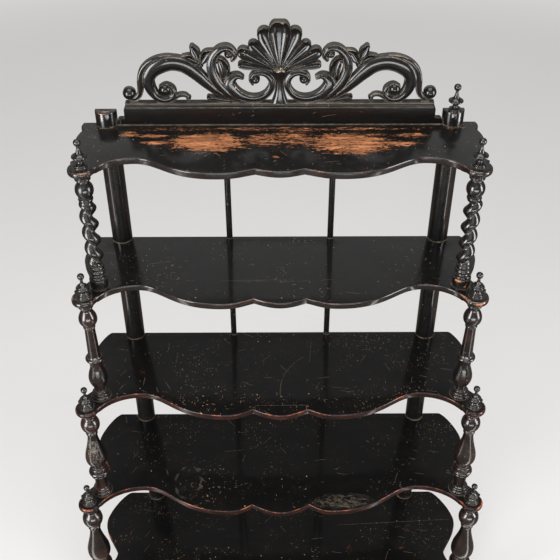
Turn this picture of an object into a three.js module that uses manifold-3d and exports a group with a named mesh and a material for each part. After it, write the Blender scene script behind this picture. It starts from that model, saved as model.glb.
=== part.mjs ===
// Etagere: five serpentine shelves carried by two half-round back posts and four pairs of turned columns,
// with a gallery board, a bead moulding and a pierced, carved crest over the top shelf.
// Millimetres. +Z is up, +X is to the right and +Y is to the back.
// The origin lies on the floor, under the middle of the whole outline.
import * as THREE from 'three';
import Module from 'manifold-3d';
import { mergeVertices } from 'three/addons/utils/BufferGeometryUtils.js';

const wasm = await Module();
wasm.setup();

// Heights
const shelfCount = 5;
const shelfThickness = 14;
const tierRise = 293.5;
const bottomTierRise = 331;
const footHeight = 96;

// Clearances: round a tenon, bar or screw, and between two flat faces that meet
const fit = 0.35;
const seat = 0.05;
const overrun = 2;

// Back posts and back rods, half-round, with a flat back that is flush with the shelves
const postSpacing = 720;
const postRadius = 22.5;
const postBack = 4;
const postStub = 32;
const postArcSteps = 8;
const rodSpacing = 230;
const rodRadius = 6.8;
const rodArcSteps = 4;

// Plan of the top shelf. Outsets and insets are measured from the posts' centres, bowOut and cuspOut
// from the middle of the shelf, and forward from the posts' centre line.
const earOutset = 26;
const earForward = 175;
const peakInset = 72;
const peakForward = 143;
const lobeOutset = 55;
const lobeForward = 62;
const notchOutset = 36;
const notchForward = 133;
const cornerOutset = 44;
const bowOut = 124;
const bowForward = 201.5;
const cuspOut = 48;
const cuspForward = 184.5;
const centreForward = 196;

// Growth of that plan from each shelf to the one below it
const earOutStep = 27;
const earForwardStep = 37.7;
const peakOutStep = 16;
const peakForwardStep = 33.4;
const lobeOutStep = 19;
const lobeForwardStep = 9;
const notchOutStep = 12.7;
const notchForwardStep = 17;
const cornerOutStep = 7;
const bowForwardStep = 39;
const cuspOutStep = 7;
const cuspForwardStep = 38;
const centreForwardStep = 42.5;

// Ears: a disc with a nick on either side and a beak behind. Angles are in degrees from straight out.
const earRadius = 27.5;
const earNickDepth = 2.5;
const beakReach = 5;
const beakAngle = -40;
const backNickAngle = -33;
const earBackAngle = -27;
const earFrontAngle = 129;
const frontNickAngle = 134;
const frontRiseAngle = 140;
const earArcSteps = 8;

// Small lobe at each back corner of the top shelf
const cornerLobeLength = 24;
const cornerLobeOut = 5;
const cornerLobeSwell = 3;

// Turned columns, with a tenon at each end
const columnSides = 9;
const tenonRadius = 8;
const blindDepth = 10;
const collarRadius = 16;
const collarHeight = 15;
const drumRadius = 19.5;
const drumHeight = 57;
const ballHeight = 46;
const twistRadius = 13;
const twistThrow = 5.5;
const twistPitch = 39;
const twistRing = 8;
const twistStepsPerTurn = 8;
const vaseRadius = 21.5;
const pearRadius = 25.7;
const lowPearRadius = 28.6;
const footRadius = 27;

// Finials and their spigots
const finialSides = 8;
const finialRadius = 15.5;
const finialHeight = 60;
const spigotRadius = 3.5;
const spigotLength = 18;
const spigotRoom = 1.5;

// Gallery board, bead moulding and crest
const boardHeight = 40;
const boardThickness = 14;
const boardStepLength = 16;
const boardStepHeight = 15;
const boardStepRound = 7;
const boardChamfer = 6;
const mouldingInset = 5;
const mouldingHeight = 11.5;
const mouldingFillet = 1.5;
const crestOverhang = 4;
const crestHeight = 175;
const crestBody = 8;
const shellBody = 10;
const eyeSides = 7;

// Wood screws, and the dowel under the crest
const screwSides = 6;
const screwShank = 2.3;
const screwHead = 4.7;
const screwHeadDepth = 2.6;
const screwPoint = 6;
const screwBite = 20;
const galleryScrewSpacing = 250;
const dowelSides = 8;
const dowelRadius = 3;
const dowelBite = 16;
const dowelInset = 6;

const black = { color: 0x14110f, roughness: 0.32, metalness: 0 };
const umber = { color: 0x241511, roughness: 0.3, metalness: 0 };
const steel = { color: 0x6d675f, roughness: 0.45, metalness: 0.9 };
const beech = { color: 0x9c7a52, roughness: 0.7, metalness: 0 };

// Derived places
const lastShelf = shelfCount - 1;
const postOut = postSpacing / 2;
const rodOut = rodSpacing / 2;
const overallDepth = centreForward + centreForwardStep * lastShelf + postBack;
const backPlane = overallDepth / 2;
const postLine = backPlane - postBack;
const bottomShelfTop = footHeight + shelfThickness;
const spigotDepth = spigotLength + spigotRoom;
const boardEnd = postOut - postRadius - fit;
const boardHalfLength = boardEnd - boardStepLength;
const boardMiddle = backPlane - boardThickness / 2;
const mouldingHalfLength = boardHalfLength - mouldingInset;
const crestHalfWidth = mouldingHalfLength + crestOverhang;
const screwMiddles = [-galleryScrewSpacing, 0, galleryScrewSpacing];
const sides = [['left', -1], ['right', 1]];

const shelfTop = (shelf) => (shelf === lastShelf ? bottomShelfTop
  : bottomShelfTop + bottomTierRise + tierRise * (lastShelf - 1 - shelf));
const earOf = (shelf) => new THREE.Vector2(postOut + earOutset + earOutStep * shelf,
  earForward + earForwardStep * shelf);
const boardBase = shelfTop(0) + seat;
const mouldingBase = boardBase + boardHeight + seat;
const crestBase = mouldingBase + mouldingHeight + seat;

const group = new THREE.Group();

function add(name, geometry, finish, x, y, z) {
  const mesh = new THREE.Mesh(geometry, new THREE.MeshStandardMaterial(finish));
  mesh.name = name;
  mesh.position.set(x, y, z);
  group.add(mesh);
}

// A closed geometry with shared points and its faces pointing out. Where a section closes on the axis
// of a turned piece, its empty triangles are left out.
function closed(geometry) {
  for (const name of Object.keys(geometry.attributes)) {
    if (name !== 'position') geometry.deleteAttribute(name);
  }
  const merged = mergeVertices(geometry);
  const place = merged.attributes.position;
  const [a, b, c] = [new THREE.Vector3(), new THREE.Vector3(), new THREE.Vector3()];
  const kept = [];
  let volume = 0;
  for (let i = 0; i < merged.index.count; i += 3) {
    const [p, q, r] = [merged.index.getX(i), merged.index.getX(i + 1), merged.index.getX(i + 2)];
    if (p !== q && q !== r && r !== p) {
      kept.push(p, q, r);
      a.fromBufferAttribute(place, p);
      b.fromBufferAttribute(place, q);
      c.fromBufferAttribute(place, r);
      volume += a.dot(b.cross(c));
    }
  }
  if (volume < 0) kept.reverse();
  merged.setIndex(kept);
  return merged;
}

function solid(geometry) {
  const mesh = closed(geometry);
  return new wasm.Manifold(new wasm.Mesh({
    numProp: 3,
    vertProperties: Float32Array.from(mesh.attributes.position.array),
    triVerts: Uint32Array.from(mesh.index.array),
  }));
}

function geometryOf(manifold) {
  const mesh = manifold.getMesh();
  const geometry = new THREE.BufferGeometry();
  geometry.setAttribute('position', new THREE.BufferAttribute(Float32Array.from(mesh.vertProperties), 3));
  geometry.setIndex(new THREE.BufferAttribute(Uint32Array.from(mesh.triVerts), 1));
  return geometry;
}

// Plan curves
const at = (x, y) => new THREE.Vector2(x, y);

function arc(centre, radius, from, to, steps) {
  const points = [];
  for (let i = 0; i <= steps; i += 1) {
    const angle = from + (to - from) * i / steps;
    points.push(at(centre.x + radius * Math.cos(angle), centre.y + radius * Math.sin(angle)));
  }
  return points;
}

// A curve from one point to another, with its two handles as shares of the way between them
function sweep(from, to, fromShares, toShares, steps) {
  const way = to.clone().sub(from);
  const first = at(from.x + way.x * fromShares[0], from.y + way.y * fromShares[1]);
  const second = at(to.x - way.x * toShares[0], to.y - way.y * toShares[1]);
  return new THREE.CubicBezierCurve(from, first, second, to).getPoints(steps);
}

// A recess for a half-round bar, open at the back edge
function recess(out, radius, steps) {
  const mouth = Math.sqrt((radius + fit) ** 2 - postBack ** 2);
  const spread = Math.asin(postBack / radius);
  const curve = arc(at(out, 0), radius + fit, Math.PI + spread, -spread, steps);
  return [at(out - mouth, -postBack), ...curve.slice(1, -1), at(out + mouth, -postBack)];
}

function cornerCurve(shelf, corner) {
  if (shelf > 0) return [corner];
  const tip = corner.x + cornerLobeOut;
  return [at(tip, corner.y), at(tip + cornerLobeSwell, cornerLobeLength / 3), at(tip, cornerLobeLength),
    at(corner.x, cornerLobeLength + cornerLobeOut)];
}

// Handles of the plan's curves
const lobeRiseShares = [[0.33, 0], [0, 0.33]];
const lobeFallShares = [[0, 0.4], [0.32, 0.32]];
const neckShares = [[0, 0.35], [0.4, 0.3]];
const earRiseShares = [[0.12, 0.55], [0.5, 0]];
const ogeeShares = [[0.3, 0], [0.58, 0]];
const bowFallShares = [[0.5, 0], [0.34, 0.5]];
const centreBowShares = [[0.34, 0.55], [0.34, 0]];

// Half a shelf's outline, from the middle of its back edge round to the middle of its front
function halfOutline(shelf) {
  const ear = earOf(shelf);
  const around = (radius, degrees) => {
    const angle = THREE.MathUtils.degToRad(degrees);
    return at(ear.x + radius * Math.cos(angle), ear.y + radius * Math.sin(angle));
  };
  const corner = at(postOut + cornerOutset + cornerOutStep * shelf, -postBack);
  const lobe = at(postOut + lobeOutset + lobeOutStep * shelf, lobeForward + lobeForwardStep * shelf);
  const notch = at(postOut + notchOutset + notchOutStep * shelf, notchForward + notchForwardStep * shelf);
  const beak = around(earRadius + beakReach, beakAngle);
  const rise = around(earRadius, frontRiseAngle);
  const peak = at(postOut - peakInset + peakOutStep * shelf, peakForward + peakForwardStep * shelf);
  const bow = at(bowOut, bowForward + bowForwardStep * shelf);
  const cusp = at(cuspOut + cuspOutStep * shelf, cuspForward + cuspForwardStep * shelf);
  const centre = at(0, centreForward + centreForwardStep * shelf);
  const back = [...recess(rodOut, rodRadius, rodArcSteps), ...recess(postOut, postRadius, postArcSteps),
    ...cornerCurve(shelf, corner)];
  return [
    ...back,
    ...sweep(back[back.length - 1], lobe, ...lobeRiseShares, 5).slice(1),
    ...sweep(lobe, notch, ...lobeFallShares, 4).slice(1),
    ...sweep(notch, beak, ...neckShares, 3).slice(1),
    around(earRadius - earNickDepth, backNickAngle),
    ...arc(ear, earRadius, THREE.MathUtils.degToRad(earBackAngle),
      THREE.MathUtils.degToRad(earFrontAngle), earArcSteps),
    around(earRadius - earNickDepth, frontNickAngle),
    ...sweep(rise, peak, ...earRiseShares, 6),
    ...sweep(peak, bow, ...ogeeShares, 7).slice(1),
    ...sweep(bow, cusp, ...bowFallShares, 4).slice(1),
    ...sweep(cusp, centre, ...centreBowShares, 4).slice(1),
  ];
}

// The radius of a round hole's corners, so that its flats clear what goes in it
const roomy = (radius, count) => (radius + fit) / Math.cos(Math.PI / count);

function bar(radius, length, count) {
  return new THREE.CylinderGeometry(radius, radius, length, count);
}

// Bores in a piece: upright ones open at the top, and ones that run back from a face towards the front
function uprightBore(radius, depth, count, x, y, top) {
  const bore = bar(roomy(radius, count), depth + overrun, count);
  bore.rotateX(Math.PI / 2);
  bore.translate(x, y, top + (overrun - depth) / 2);
  return solid(bore);
}

function levelBore(radius, front, back, count, x, z) {
  const bore = bar(roomy(radius, count), back - front, count);
  bore.translate(x, (front + back) / 2, z);
  return solid(bore);
}

// The countersink of a screw hole, its mouth at the origin and its point towards -Y
function countersink() {
  const sink = new THREE.CylinderGeometry(roomy(screwHead, screwSides), roomy(screwShank, screwSides),
    screwHeadDepth + fit, screwSides);
  sink.translate(0, seat - (screwHeadDepth + fit) / 2, 0);
  return sink;
}

function buildShelf(shelf) {
  const half = halfOutline(shelf);
  const right = half.map((p) => at(p.x, -p.y));
  const left = right.filter((p) => p.x > 0).map((p) => at(-p.x, p.y)).reverse();
  const shape = new THREE.Shape([...right, ...left]);
  for (const [, sign] of sides) {
    const ear = earOf(shelf);
    const hole = arc(at(sign * ear.x, -ear.y), roomy(tenonRadius, columnSides), Math.PI / 2,
      Math.PI * 5 / 2, columnSides);
    shape.holes.push(new THREE.Path(hole.slice(1)));
  }
  let board = solid(new THREE.ExtrudeGeometry(shape, { depth: shelfThickness, bevelEnabled: false }));
  for (const [, sign] of sides) {
    board = board.subtract(levelBore(screwShank, -postRadius - screwBite - fit, 0, screwSides,
      sign * postOut, shelfThickness / 2));
    if (shelf > 0) {
      const above = earOf(shelf - 1);
      board = board.subtract(uprightBore(tenonRadius, blindDepth, columnSides, sign * above.x, -above.y,
        shelfThickness));
    }
  }
  if (shelf === 0) {
    for (const x of screwMiddles) {
      board = board.subtract(uprightBore(screwShank, shelfThickness + overrun, screwSides,
        x, boardMiddle - postLine, shelfThickness));
      const sink = countersink();
      sink.rotateX(-Math.PI / 2);
      sink.translate(x, boardMiddle - postLine, 0);
      board = board.subtract(solid(sink));
    }
  }
  add(`shelf_${shelf + 1}`, geometryOf(board), black, 0, postLine, shelfTop(shelf) - shelfThickness);
}

// A half-round bar that stands upright, its flat back on the back plane
function halfRound(radius, steps, height) {
  const spread = Math.asin(postBack / radius);
  const section = arc(at(0, 0), radius, Math.PI + spread, -spread, steps).map((p) => at(p.x, -p.y));
  return new THREE.ExtrudeGeometry(new THREE.Shape(section), { depth: height, bevelEnabled: false });
}

const stubFinialBack = postBack - finialRadius;

function buildPost(side, sign) {
  const height = shelfTop(0) + postStub;
  let post = solid(halfRound(postRadius, postArcSteps, height));
  for (let shelf = 0; shelf < shelfCount; shelf += 1) {
    const z = shelfTop(shelf) - shelfThickness / 2;
    post = post.subtract(levelBore(screwShank, -postRadius - overrun, postBack, screwSides, 0, z));
    const sink = countersink();
    sink.translate(0, postBack, z);
    post = post.subtract(solid(sink));
  }
  if (side === 'right') {
    post = post.subtract(uprightBore(spigotRadius, spigotDepth, finialSides, 0, stubFinialBack, height));
  }
  add(`back_post_${side}`, geometryOf(post), black, sign * postOut, postLine, 0);
}

function buildRod(side, sign) {
  const bottom = bottomShelfTop - shelfThickness;
  const rod = halfRound(rodRadius, rodArcSteps, shelfTop(0) - bottom);
  add(`back_rod_${side}`, closed(rod), black, sign * rodOut, postLine, bottom);
}

// A turned piece. Its profile gives radius and height, from the foot up.
function turned(profile, segments) {
  const lathe = new THREE.LatheGeometry(profile.map(([radius, height]) => at(radius, height)), segments);
  lathe.rotateX(Math.PI / 2);
  return lathe;
}

const scaled = (shares, radius, height, lift) => shares.map(([r, h]) => [r * radius, lift + h * height]);

// Shares of a piece's greatest radius and of its height, from the foot up
const drumShares = [[1, 0], [1, 0.4], [0.92, 0.43], [0.92, 0.53], [0.68, 0.57], [0.68, 0.62],
  [0.87, 0.68], [0.85, 0.78], [0.74, 0.82], [0.81, 0.88], [0.81, 0.97], [0.62, 1]];
const ballShares = [[0.62, 0], [0.79, 0.04], [0.77, 0.11], [0.6, 0.17], [0.86, 0.3], [0.96, 0.53],
  [0.83, 0.77], [0.49, 0.93], [0.49, 1]];
const vaseShares = [[1, 0], [1, 0.025], [0.88, 0.03], [0.85, 0.058], [0.53, 0.075], [0.74, 0.12],
  [1, 0.2], [0.84, 0.29], [0.62, 0.36], [0.95, 0.41], [0.92, 0.44], [0.62, 0.46], [0.53, 0.735],
  [0.62, 0.76], [0.92, 0.815], [0.8, 0.875], [0.56, 0.905], [0.56, 0.945]];
const pearShares = [[0.88, 0], [0.9, 0.05], [0.55, 0.075], [0.55, 0.2], [0.82, 0.22], [0.95, 0.26],
  [0.8, 0.31], [0.55, 0.335], [0.85, 0.385], [1, 0.445], [0.92, 0.52], [0.64, 0.605], [0.45, 0.7],
  [0.48, 0.75], [0.84, 0.81], [0.8, 0.87], [0.48, 0.915], [0.48, 0.945]];
const collarShares = [[1, 0], [1, 1]];

function bodyOf(tier, height) {
  const neck = height - collarHeight;
  if (tier === 1) return scaled(vaseShares, vaseRadius, height, 0);
  if (tier === 2) return scaled(pearShares, pearRadius, height, 0);
  if (tier === 3) return scaled(pearShares, lowPearRadius, height, 0);
  return [...scaled(drumShares, drumRadius, drumHeight, 0),
    ...scaled(ballShares, drumRadius, ballHeight, neck - ballHeight)];
}

// The head of a column or foot: a collar under the ear, a tenon through it and a bore for the spigot
function headProfile(height) {
  const top = height + seat + shelfThickness - fit;
  const bore = roomy(spigotRadius, columnSides);
  return [[tenonRadius, height], [tenonRadius, top], [bore, top], [bore, top - spigotDepth],
    [0, top - spigotDepth]];
}

// One strand wound round the column's axis; the two columns of the pair turn opposite ways
function twistStrand(length, hand, turnShare) {
  const steps = Math.round(length / twistPitch * twistStepsPerTurn);
  const rings = [];
  for (let i = 0; i <= steps; i += 1) {
    const z = length * i / steps;
    const turn = hand * 2 * Math.PI * (z / twistPitch + turnShare);
    const centre = at(twistThrow * Math.cos(turn), twistThrow * Math.sin(turn));
    const ring = arc(centre, twistRadius, 0, Math.PI * 2, twistRing).slice(1);
    rings.push(ring.map((p) => new THREE.Vector3(p.x, p.y, z)));
  }
  return loft(rings);
}

// A closed skin over rings of points, with flat ends
function loft(rings) {
  const count = rings[0].length;
  const last = (rings.length - 1) * count;
  const index = [];
  for (let i = 0; i < last; i += count) {
    for (let j = 0; j < count; j += 1) {
      const [a, b] = [i + j, i + (j + 1) % count];
      index.push(a, b, b + count, a, b + count, a + count);
    }
  }
  for (let j = 1; j < count - 1; j += 1) {
    index.push(0, j + 1, j);
    index.push(last, last + j, last + j + 1);
  }
  const geometry = new THREE.BufferGeometry().setFromPoints(rings.flat());
  geometry.setIndex(index);
  return geometry;
}

// The strand's turn at the foot of each column, as a share of a full turn
const turnShares = { left: 0.3, right: 0.065 };

function buildColumn(tier, side, sign) {
  const bottom = shelfTop(tier + 1) + seat;
  const height = shelfTop(tier) - shelfThickness - seat - bottom;
  const neck = height - collarHeight;
  const tenonFoot = fit - blindDepth;
  const foot = [[0, tenonFoot], [tenonRadius, tenonFoot], [tenonRadius, 0]];
  const head = [...scaled(collarShares, collarRadius, collarHeight, neck), ...headProfile(height)];
  const body = bodyOf(tier, height);
  let column;
  if (tier > 0) {
    column = closed(turned([...foot, ...body, ...head], columnSides));
  } else {
    const lower = body.filter(([, z]) => z <= drumHeight);
    const upper = body.filter(([, z]) => z > drumHeight);
    const start = upper[0][1];
    const strand = twistStrand(start - drumHeight + overrun * 2, sign, turnShares[side]);
    strand.translate(0, 0, drumHeight - overrun);
    column = geometryOf(solid(turned([...foot, ...lower, [0, drumHeight]], columnSides))
      .add(solid(strand))
      .add(solid(turned([[0, start], ...upper, ...head], columnSides))));
  }
  const ear = earOf(tier);
  add(`column_${tier + 1}_${side}`, column, umber, sign * ear.x, postLine - ear.y, bottom);
}

// Finials: a ball on a stem over a disc or a cap, and a stepped foot
const discFinialShares = [[0.95, 0], [0.95, 0.08], [0.38, 0.15], [0.35, 0.25], [0.8, 0.31], [1, 0.37],
  [0.85, 0.44], [0.19, 0.58], [0.19, 0.75], [0.45, 0.82], [0.45, 0.93], [0, 1]];
const capFinialShares = [[1, 0], [1, 0.07], [0.82, 0.16], [0.5, 0.28], [0.93, 0.36], [0.93, 0.42],
  [0.5, 0.53], [0.19, 0.61], [0.19, 0.75], [0.45, 0.82], [0.45, 0.93], [0, 1]];

function finial(shares) {
  const spigot = [[0, -spigotLength], [spigotRadius, -spigotLength], [spigotRadius, 0]];
  return closed(turned([...spigot, ...scaled(shares, finialRadius, finialHeight, 0)], finialSides));
}

function buildFinials() {
  for (let shelf = 0; shelf < shelfCount; shelf += 1) {
    const ear = earOf(shelf);
    const shares = shelf === 0 ? discFinialShares : capFinialShares;
    for (const [side, sign] of sides) {
      add(`finial_${shelf + 1}_${side}`, finial(shares), umber, sign * ear.x, postLine - ear.y,
        shelfTop(shelf) + seat);
    }
  }
  add('post_finial_right', finial(discFinialShares), umber, postOut, postLine + stubFinialBack,
    shelfTop(0) + postStub + seat);
}

// Turned front feet, tenoned up through the ears of the bottom shelf
const footShares = [[0.5, 0], [0.66, 0.08], [0.66, 0.2], [0.52, 0.3], [0.85, 0.4], [1, 0.53],
  [0.9, 0.66], [0.56, 0.76], [0.8, 0.86], [0.8, 1]];

function buildFoot(side, sign) {
  const ear = earOf(lastShelf);
  const height = footHeight - seat;
  const profile = [[0, 0], ...scaled(footShares, footRadius, height, 0), ...headProfile(height)];
  add(`foot_${side}`, closed(turned(profile, columnSides)), umber, sign * ear.x, postLine - ear.y, 0);
}

// A plate that stands on its edge, its back on the back plane
function upright(shape, depth) {
  const plate = new THREE.ExtrudeGeometry(shape, { depth, bevelEnabled: false });
  plate.rotateX(Math.PI / 2);
  return plate;
}

function buildBoard() {
  const round = at(boardEnd - boardStepRound, boardStepHeight - boardStepRound);
  const right = [at(boardEnd, 0), ...arc(round, boardStepRound, 0, Math.PI / 2, 3),
    at(boardHalfLength, boardStepHeight), at(boardHalfLength, boardHeight - boardChamfer),
    at(boardHalfLength - boardChamfer, boardHeight)];
  const left = right.map((p) => at(-p.x, p.y)).reverse();
  let board = solid(upright(new THREE.Shape([...right, ...left]), boardThickness));
  for (const x of screwMiddles) {
    board = board.subtract(uprightBore(screwShank, screwBite + fit + overrun, screwSides,
      x, boardMiddle - backPlane, screwBite + fit));
  }
  board = board.subtract(uprightBore(dowelRadius, dowelBite + fit, dowelSides, 0, -dowelInset, boardHeight));
  add('gallery_board', geometryOf(board), black, 0, backPlane, boardBase);
}

// A half-round bead between two fillets, as deep as the board apart from its nose
function buildMoulding() {
  const nose = mouldingHeight / 2 - mouldingFillet;
  const section = new THREE.Shape([at(0, 0), at(boardThickness, 0),
    ...arc(at(boardThickness, mouldingHeight / 2), nose, -Math.PI / 2, Math.PI / 2, 6),
    at(boardThickness, mouldingHeight), at(0, mouldingHeight)]);
  const run = new THREE.ExtrudeGeometry(section, { depth: mouldingHalfLength * 2, bevelEnabled: false });
  run.rotateX(Math.PI / 2);
  run.rotateZ(-Math.PI / 2);
  run.translate(mouldingHalfLength, 0, 0);
  const moulding = solid(run).subtract(uprightBore(dowelRadius, mouldingHeight + overrun, dowelSides,
    0, -dowelInset, mouldingHeight));
  add('gallery_moulding', geometryOf(moulding), black, 0, backPlane, mouldingBase);
}

// The crest's carved bands. Each point is a share of half the crest's width, of its height, and for the
// band's half-width of its height again.
const mainScrollShares = [[0.75, 0.19, 0.04], [0.693, 0.202, 0.034], [0.677, 0.119, 0.035],
  [0.731, 0.045, 0.04], [0.801, 0.107, 0.052], [0.824, 0.25, 0.065], [0.795, 0.392, 0.077],
  [0.718, 0.482, 0.083], [0.617, 0.476, 0.083], [0.521, 0.357, 0.07], [0.432, 0.202, 0.053],
  [0.336, 0.083, 0.04], [0.235, 0.018, 0.03]];
const outerScrollShares = [[0.967, 0.032, 0.026], [0.916, 0.04, 0.034], [0.884, 0.143, 0.036],
  [0.878, 0.285, 0.04], [0.839, 0.428, 0.042], [0.763, 0.529, 0.042], [0.674, 0.547, 0.036],
  [0.585, 0.493, 0.03]];
const tallScrollShares = [[0.253, 0.012, 0.036], [0.33, 0.119, 0.052], [0.387, 0.238, 0.058],
  [0.422, 0.38, 0.053], [0.419, 0.523, 0.052], [0.381, 0.63, 0.047], [0.33, 0.672, 0.04],
  [0.289, 0.636, 0.03], [0.276, 0.571, 0.026]];
const lowScrollShares = [[0.262, 0.315, 0.034], [0.311, 0.285, 0.053], [0.304, 0.178, 0.065],
  [0.247, 0.083, 0.058], [0.164, 0.048, 0.047], [0.088, 0.089, 0.047], [0.046, 0.202, 0.047],
  [0.062, 0.321, 0.041], [0.12, 0.369, 0.036], [0.164, 0.309, 0.034]];
const innerLeafShares = [[0.413, 0.487, 0.02], [0.374, 0.493, 0.03], [0.362, 0.428, 0.047],
  [0.365, 0.333, 0.038], [0.358, 0.214, 0.014]];
const lowLeafShares = [[0.69, 0.035, 0.02], [0.642, 0.077, 0.022], [0.597, 0.089, 0.03]];
const tailLeafShares = [[0.438, 0.05, 0.03], [0.394, 0.03, 0.025], [0.31, 0.02, 0.02]];
const lowPetalShares = [[0.494, 0.45, 0.018], [0.54, 0.529, 0.045], [0.588, 0.583, 0.016]];
const topPetalShares = [[0.502, 0.47, 0.018], [0.515, 0.595, 0.034], [0.537, 0.684, 0.046]];
const innerPetalShares = [[0.489, 0.47, 0.018], [0.473, 0.565, 0.047], [0.441, 0.624, 0.026]];
const pedestalShares = [[0, 0, 0.09], [0, 0.119, 0.06], [0, 0.202, 0.048], [0, 0.285, 0.046],
  [0, 0.357, 0.07], [0, 0.41, 0.09]];
const eyeShares = [[0.748, 0.142, 0.052], [0.96, 0.119, 0.076], [0.304, 0.565, 0.047],
  [0.146, 0.268, 0.045], [0.581, 0.05, 0.04], [0.494, 0.44, 0.04]];

// The shell: where its lobes meet, then the tip and half-width of each lobe from the top one outwards,
// and the width of a lobe along its length
const shellRootShares = [0, 0.38];
const shellTipShares = [[0, 0.985, 0.128], [0.104, 0.9, 0.085], [0.174, 0.72, 0.066],
  [0.243, 0.63, 0.066], [0.26, 0.462, 0.05]];
const lobeWidthShares = [[0, 0.22], [0.35, 0.5], [0.65, 0.82], [0.86, 1], [0.96, 0.8], [1, 0.42]];

// Depths of a band's section as shares of its half-width and of its crown
const crownShare = 0.62;
const shoulderShare = 0.62;

// A carved band: a flat back, two cheeks and a ridge that rises with the band's width
function band(points, steps, body) {
  const curve = new THREE.CatmullRomCurve3(points, false, 'centripetal');
  const rings = [];
  for (let i = 0; i <= steps; i += 1) {
    const { x, y, z } = curve.getPoint(i / steps);
    const tangent = curve.getTangent(i / steps);
    const across = at(-tangent.y, tangent.x).normalize().multiplyScalar(z);
    const crown = body + z * crownShare;
    const cheek = crown * shoulderShare;
    const section = [[-1, 0], [-1, cheek], [0, crown], [1, cheek], [1, 0]];
    rings.push(section.map(([side, depth]) => new THREE.Vector3(x + across.x * side, -depth,
      y + across.y * side)));
  }
  return solid(loft(rings));
}

// Band points in x and z, with the half-width in place of a third coordinate
const crestPoints = (shares, sign) => shares.map(([x, z, half]) => new THREE.Vector3(
  sign * x * crestHalfWidth, z * crestHeight, half * crestHeight));

function shellLobe([tipX, tipZ, half], sign) {
  const [rootX, rootZ] = shellRootShares;
  const shares = lobeWidthShares.map(([along, width]) => [rootX + (tipX - rootX) * along,
    rootZ + (tipZ - rootZ) * along, half * width]);
  return band(crestPoints(shares, sign), lobeWidthShares.length - 1, shellBody);
}

// The eye of a scroll: a round boss with a domed front
function eye([x, z, share], sign) {
  const radius = share * crestHeight;
  const crown = crestBody + radius * crownShare;
  const profile = [at(0, 0), at(radius, 0), at(radius, -crown * shoulderShare), at(0, -crown)];
  const boss = new THREE.LatheGeometry(profile, eyeSides);
  boss.translate(sign * x * crestHalfWidth, 0, z * crestHeight);
  return solid(boss);
}

function buildCrest() {
  const bands = [[mainScrollShares, 17], [outerScrollShares, 8], [tallScrollShares, 10], [lowScrollShares, 12],
    [innerLeafShares, 4], [lowLeafShares, 3], [tailLeafShares, 2], [lowPetalShares, 3], [topPetalShares, 3],
    [innerPetalShares, 3]];
  let crest = band(crestPoints(pedestalShares, 1), 5, crestBody);
  crest = crest.add(shellLobe(shellTipShares[0], 1));
  for (const [, sign] of sides) {
    for (const [shares, steps] of bands) crest = crest.add(band(crestPoints(shares, sign), steps, crestBody));
    for (const boss of eyeShares) crest = crest.add(eye(boss, sign));
    for (const tip of shellTipShares.slice(1)) crest = crest.add(shellLobe(tip, sign));
  }
  // The carving's foot is cut flat, and the dowel's bore opens in it
  const below = new THREE.BoxGeometry(crestHalfWidth * 3, crestHalfWidth, crestHeight);
  below.translate(0, 0, -crestHeight / 2);
  crest = crest.subtract(solid(below));
  crest = crest.subtract(uprightBore(dowelRadius, dowelBite + fit + overrun, dowelSides, 0, -dowelInset,
    dowelBite + fit));
  add('crest_carving', geometryOf(crest), black, 0, backPlane, crestBase);
}

function buildDowel() {
  const length = crestBase - mouldingBase + seat + dowelBite * 2;
  const dowel = bar(dowelRadius, length, dowelSides);
  dowel.rotateX(Math.PI / 2);
  add('crest_dowel', closed(dowel), beech, 0, backPlane - dowelInset, (mouldingBase + crestBase) / 2);
}

// A countersunk wood screw that lies along Y, the top of its head at the origin and its point forward
function screw(length) {
  const profile = [[0, -length], [screwShank, screwPoint - length], [screwShank, -screwHeadDepth],
    [screwHead, 0], [0, 0]];
  return new THREE.LatheGeometry(profile.map(([radius, y]) => at(radius, y)), screwSides);
}

function buildScrews() {
  for (let shelf = 0; shelf < shelfCount; shelf += 1) {
    for (const [side, sign] of sides) {
      add(`post_screw_${shelf + 1}_${side}`, closed(screw(postBack + postRadius + screwBite)), steel,
        sign * postOut, backPlane, shelfTop(shelf) - shelfThickness / 2);
    }
  }
  screwMiddles.forEach((x, i) => {
    const driven = screw(shelfThickness + seat + screwBite);
    driven.rotateX(-Math.PI / 2);
    add(`gallery_screw_${i + 1}`, closed(driven), steel, x, boardMiddle, shelfTop(0) - shelfThickness);
  });
}

for (let shelf = 0; shelf < shelfCount; shelf += 1) buildShelf(shelf);
for (const [side, sign] of sides) {
  buildPost(side, sign);
  buildRod(side, sign);
  buildFoot(side, sign);
  for (let tier = 0; tier < lastShelf; tier += 1) buildColumn(tier, side, sign);
}
buildFinials();
buildBoard();
buildMoulding();
buildCrest();
buildDowel();
buildScrews();

export default group;
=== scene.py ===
"""The etagere, dressed: rounded boards, turned and twisted columns, a carved crest and their worn polish.

Every size is in millimetres and is turned into metres where a mesh is made. +Z is up, +X is to the right and
+Y is to the back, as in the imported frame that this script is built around.
"""

import logging
import math
from collections.abc import Callable, Sequence
from dataclasses import dataclass, field, replace
from enum import Enum
from functools import cached_property, reduce

import bmesh
import bpy
import numpy as np
from mathutils import Matrix, Vector


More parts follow.
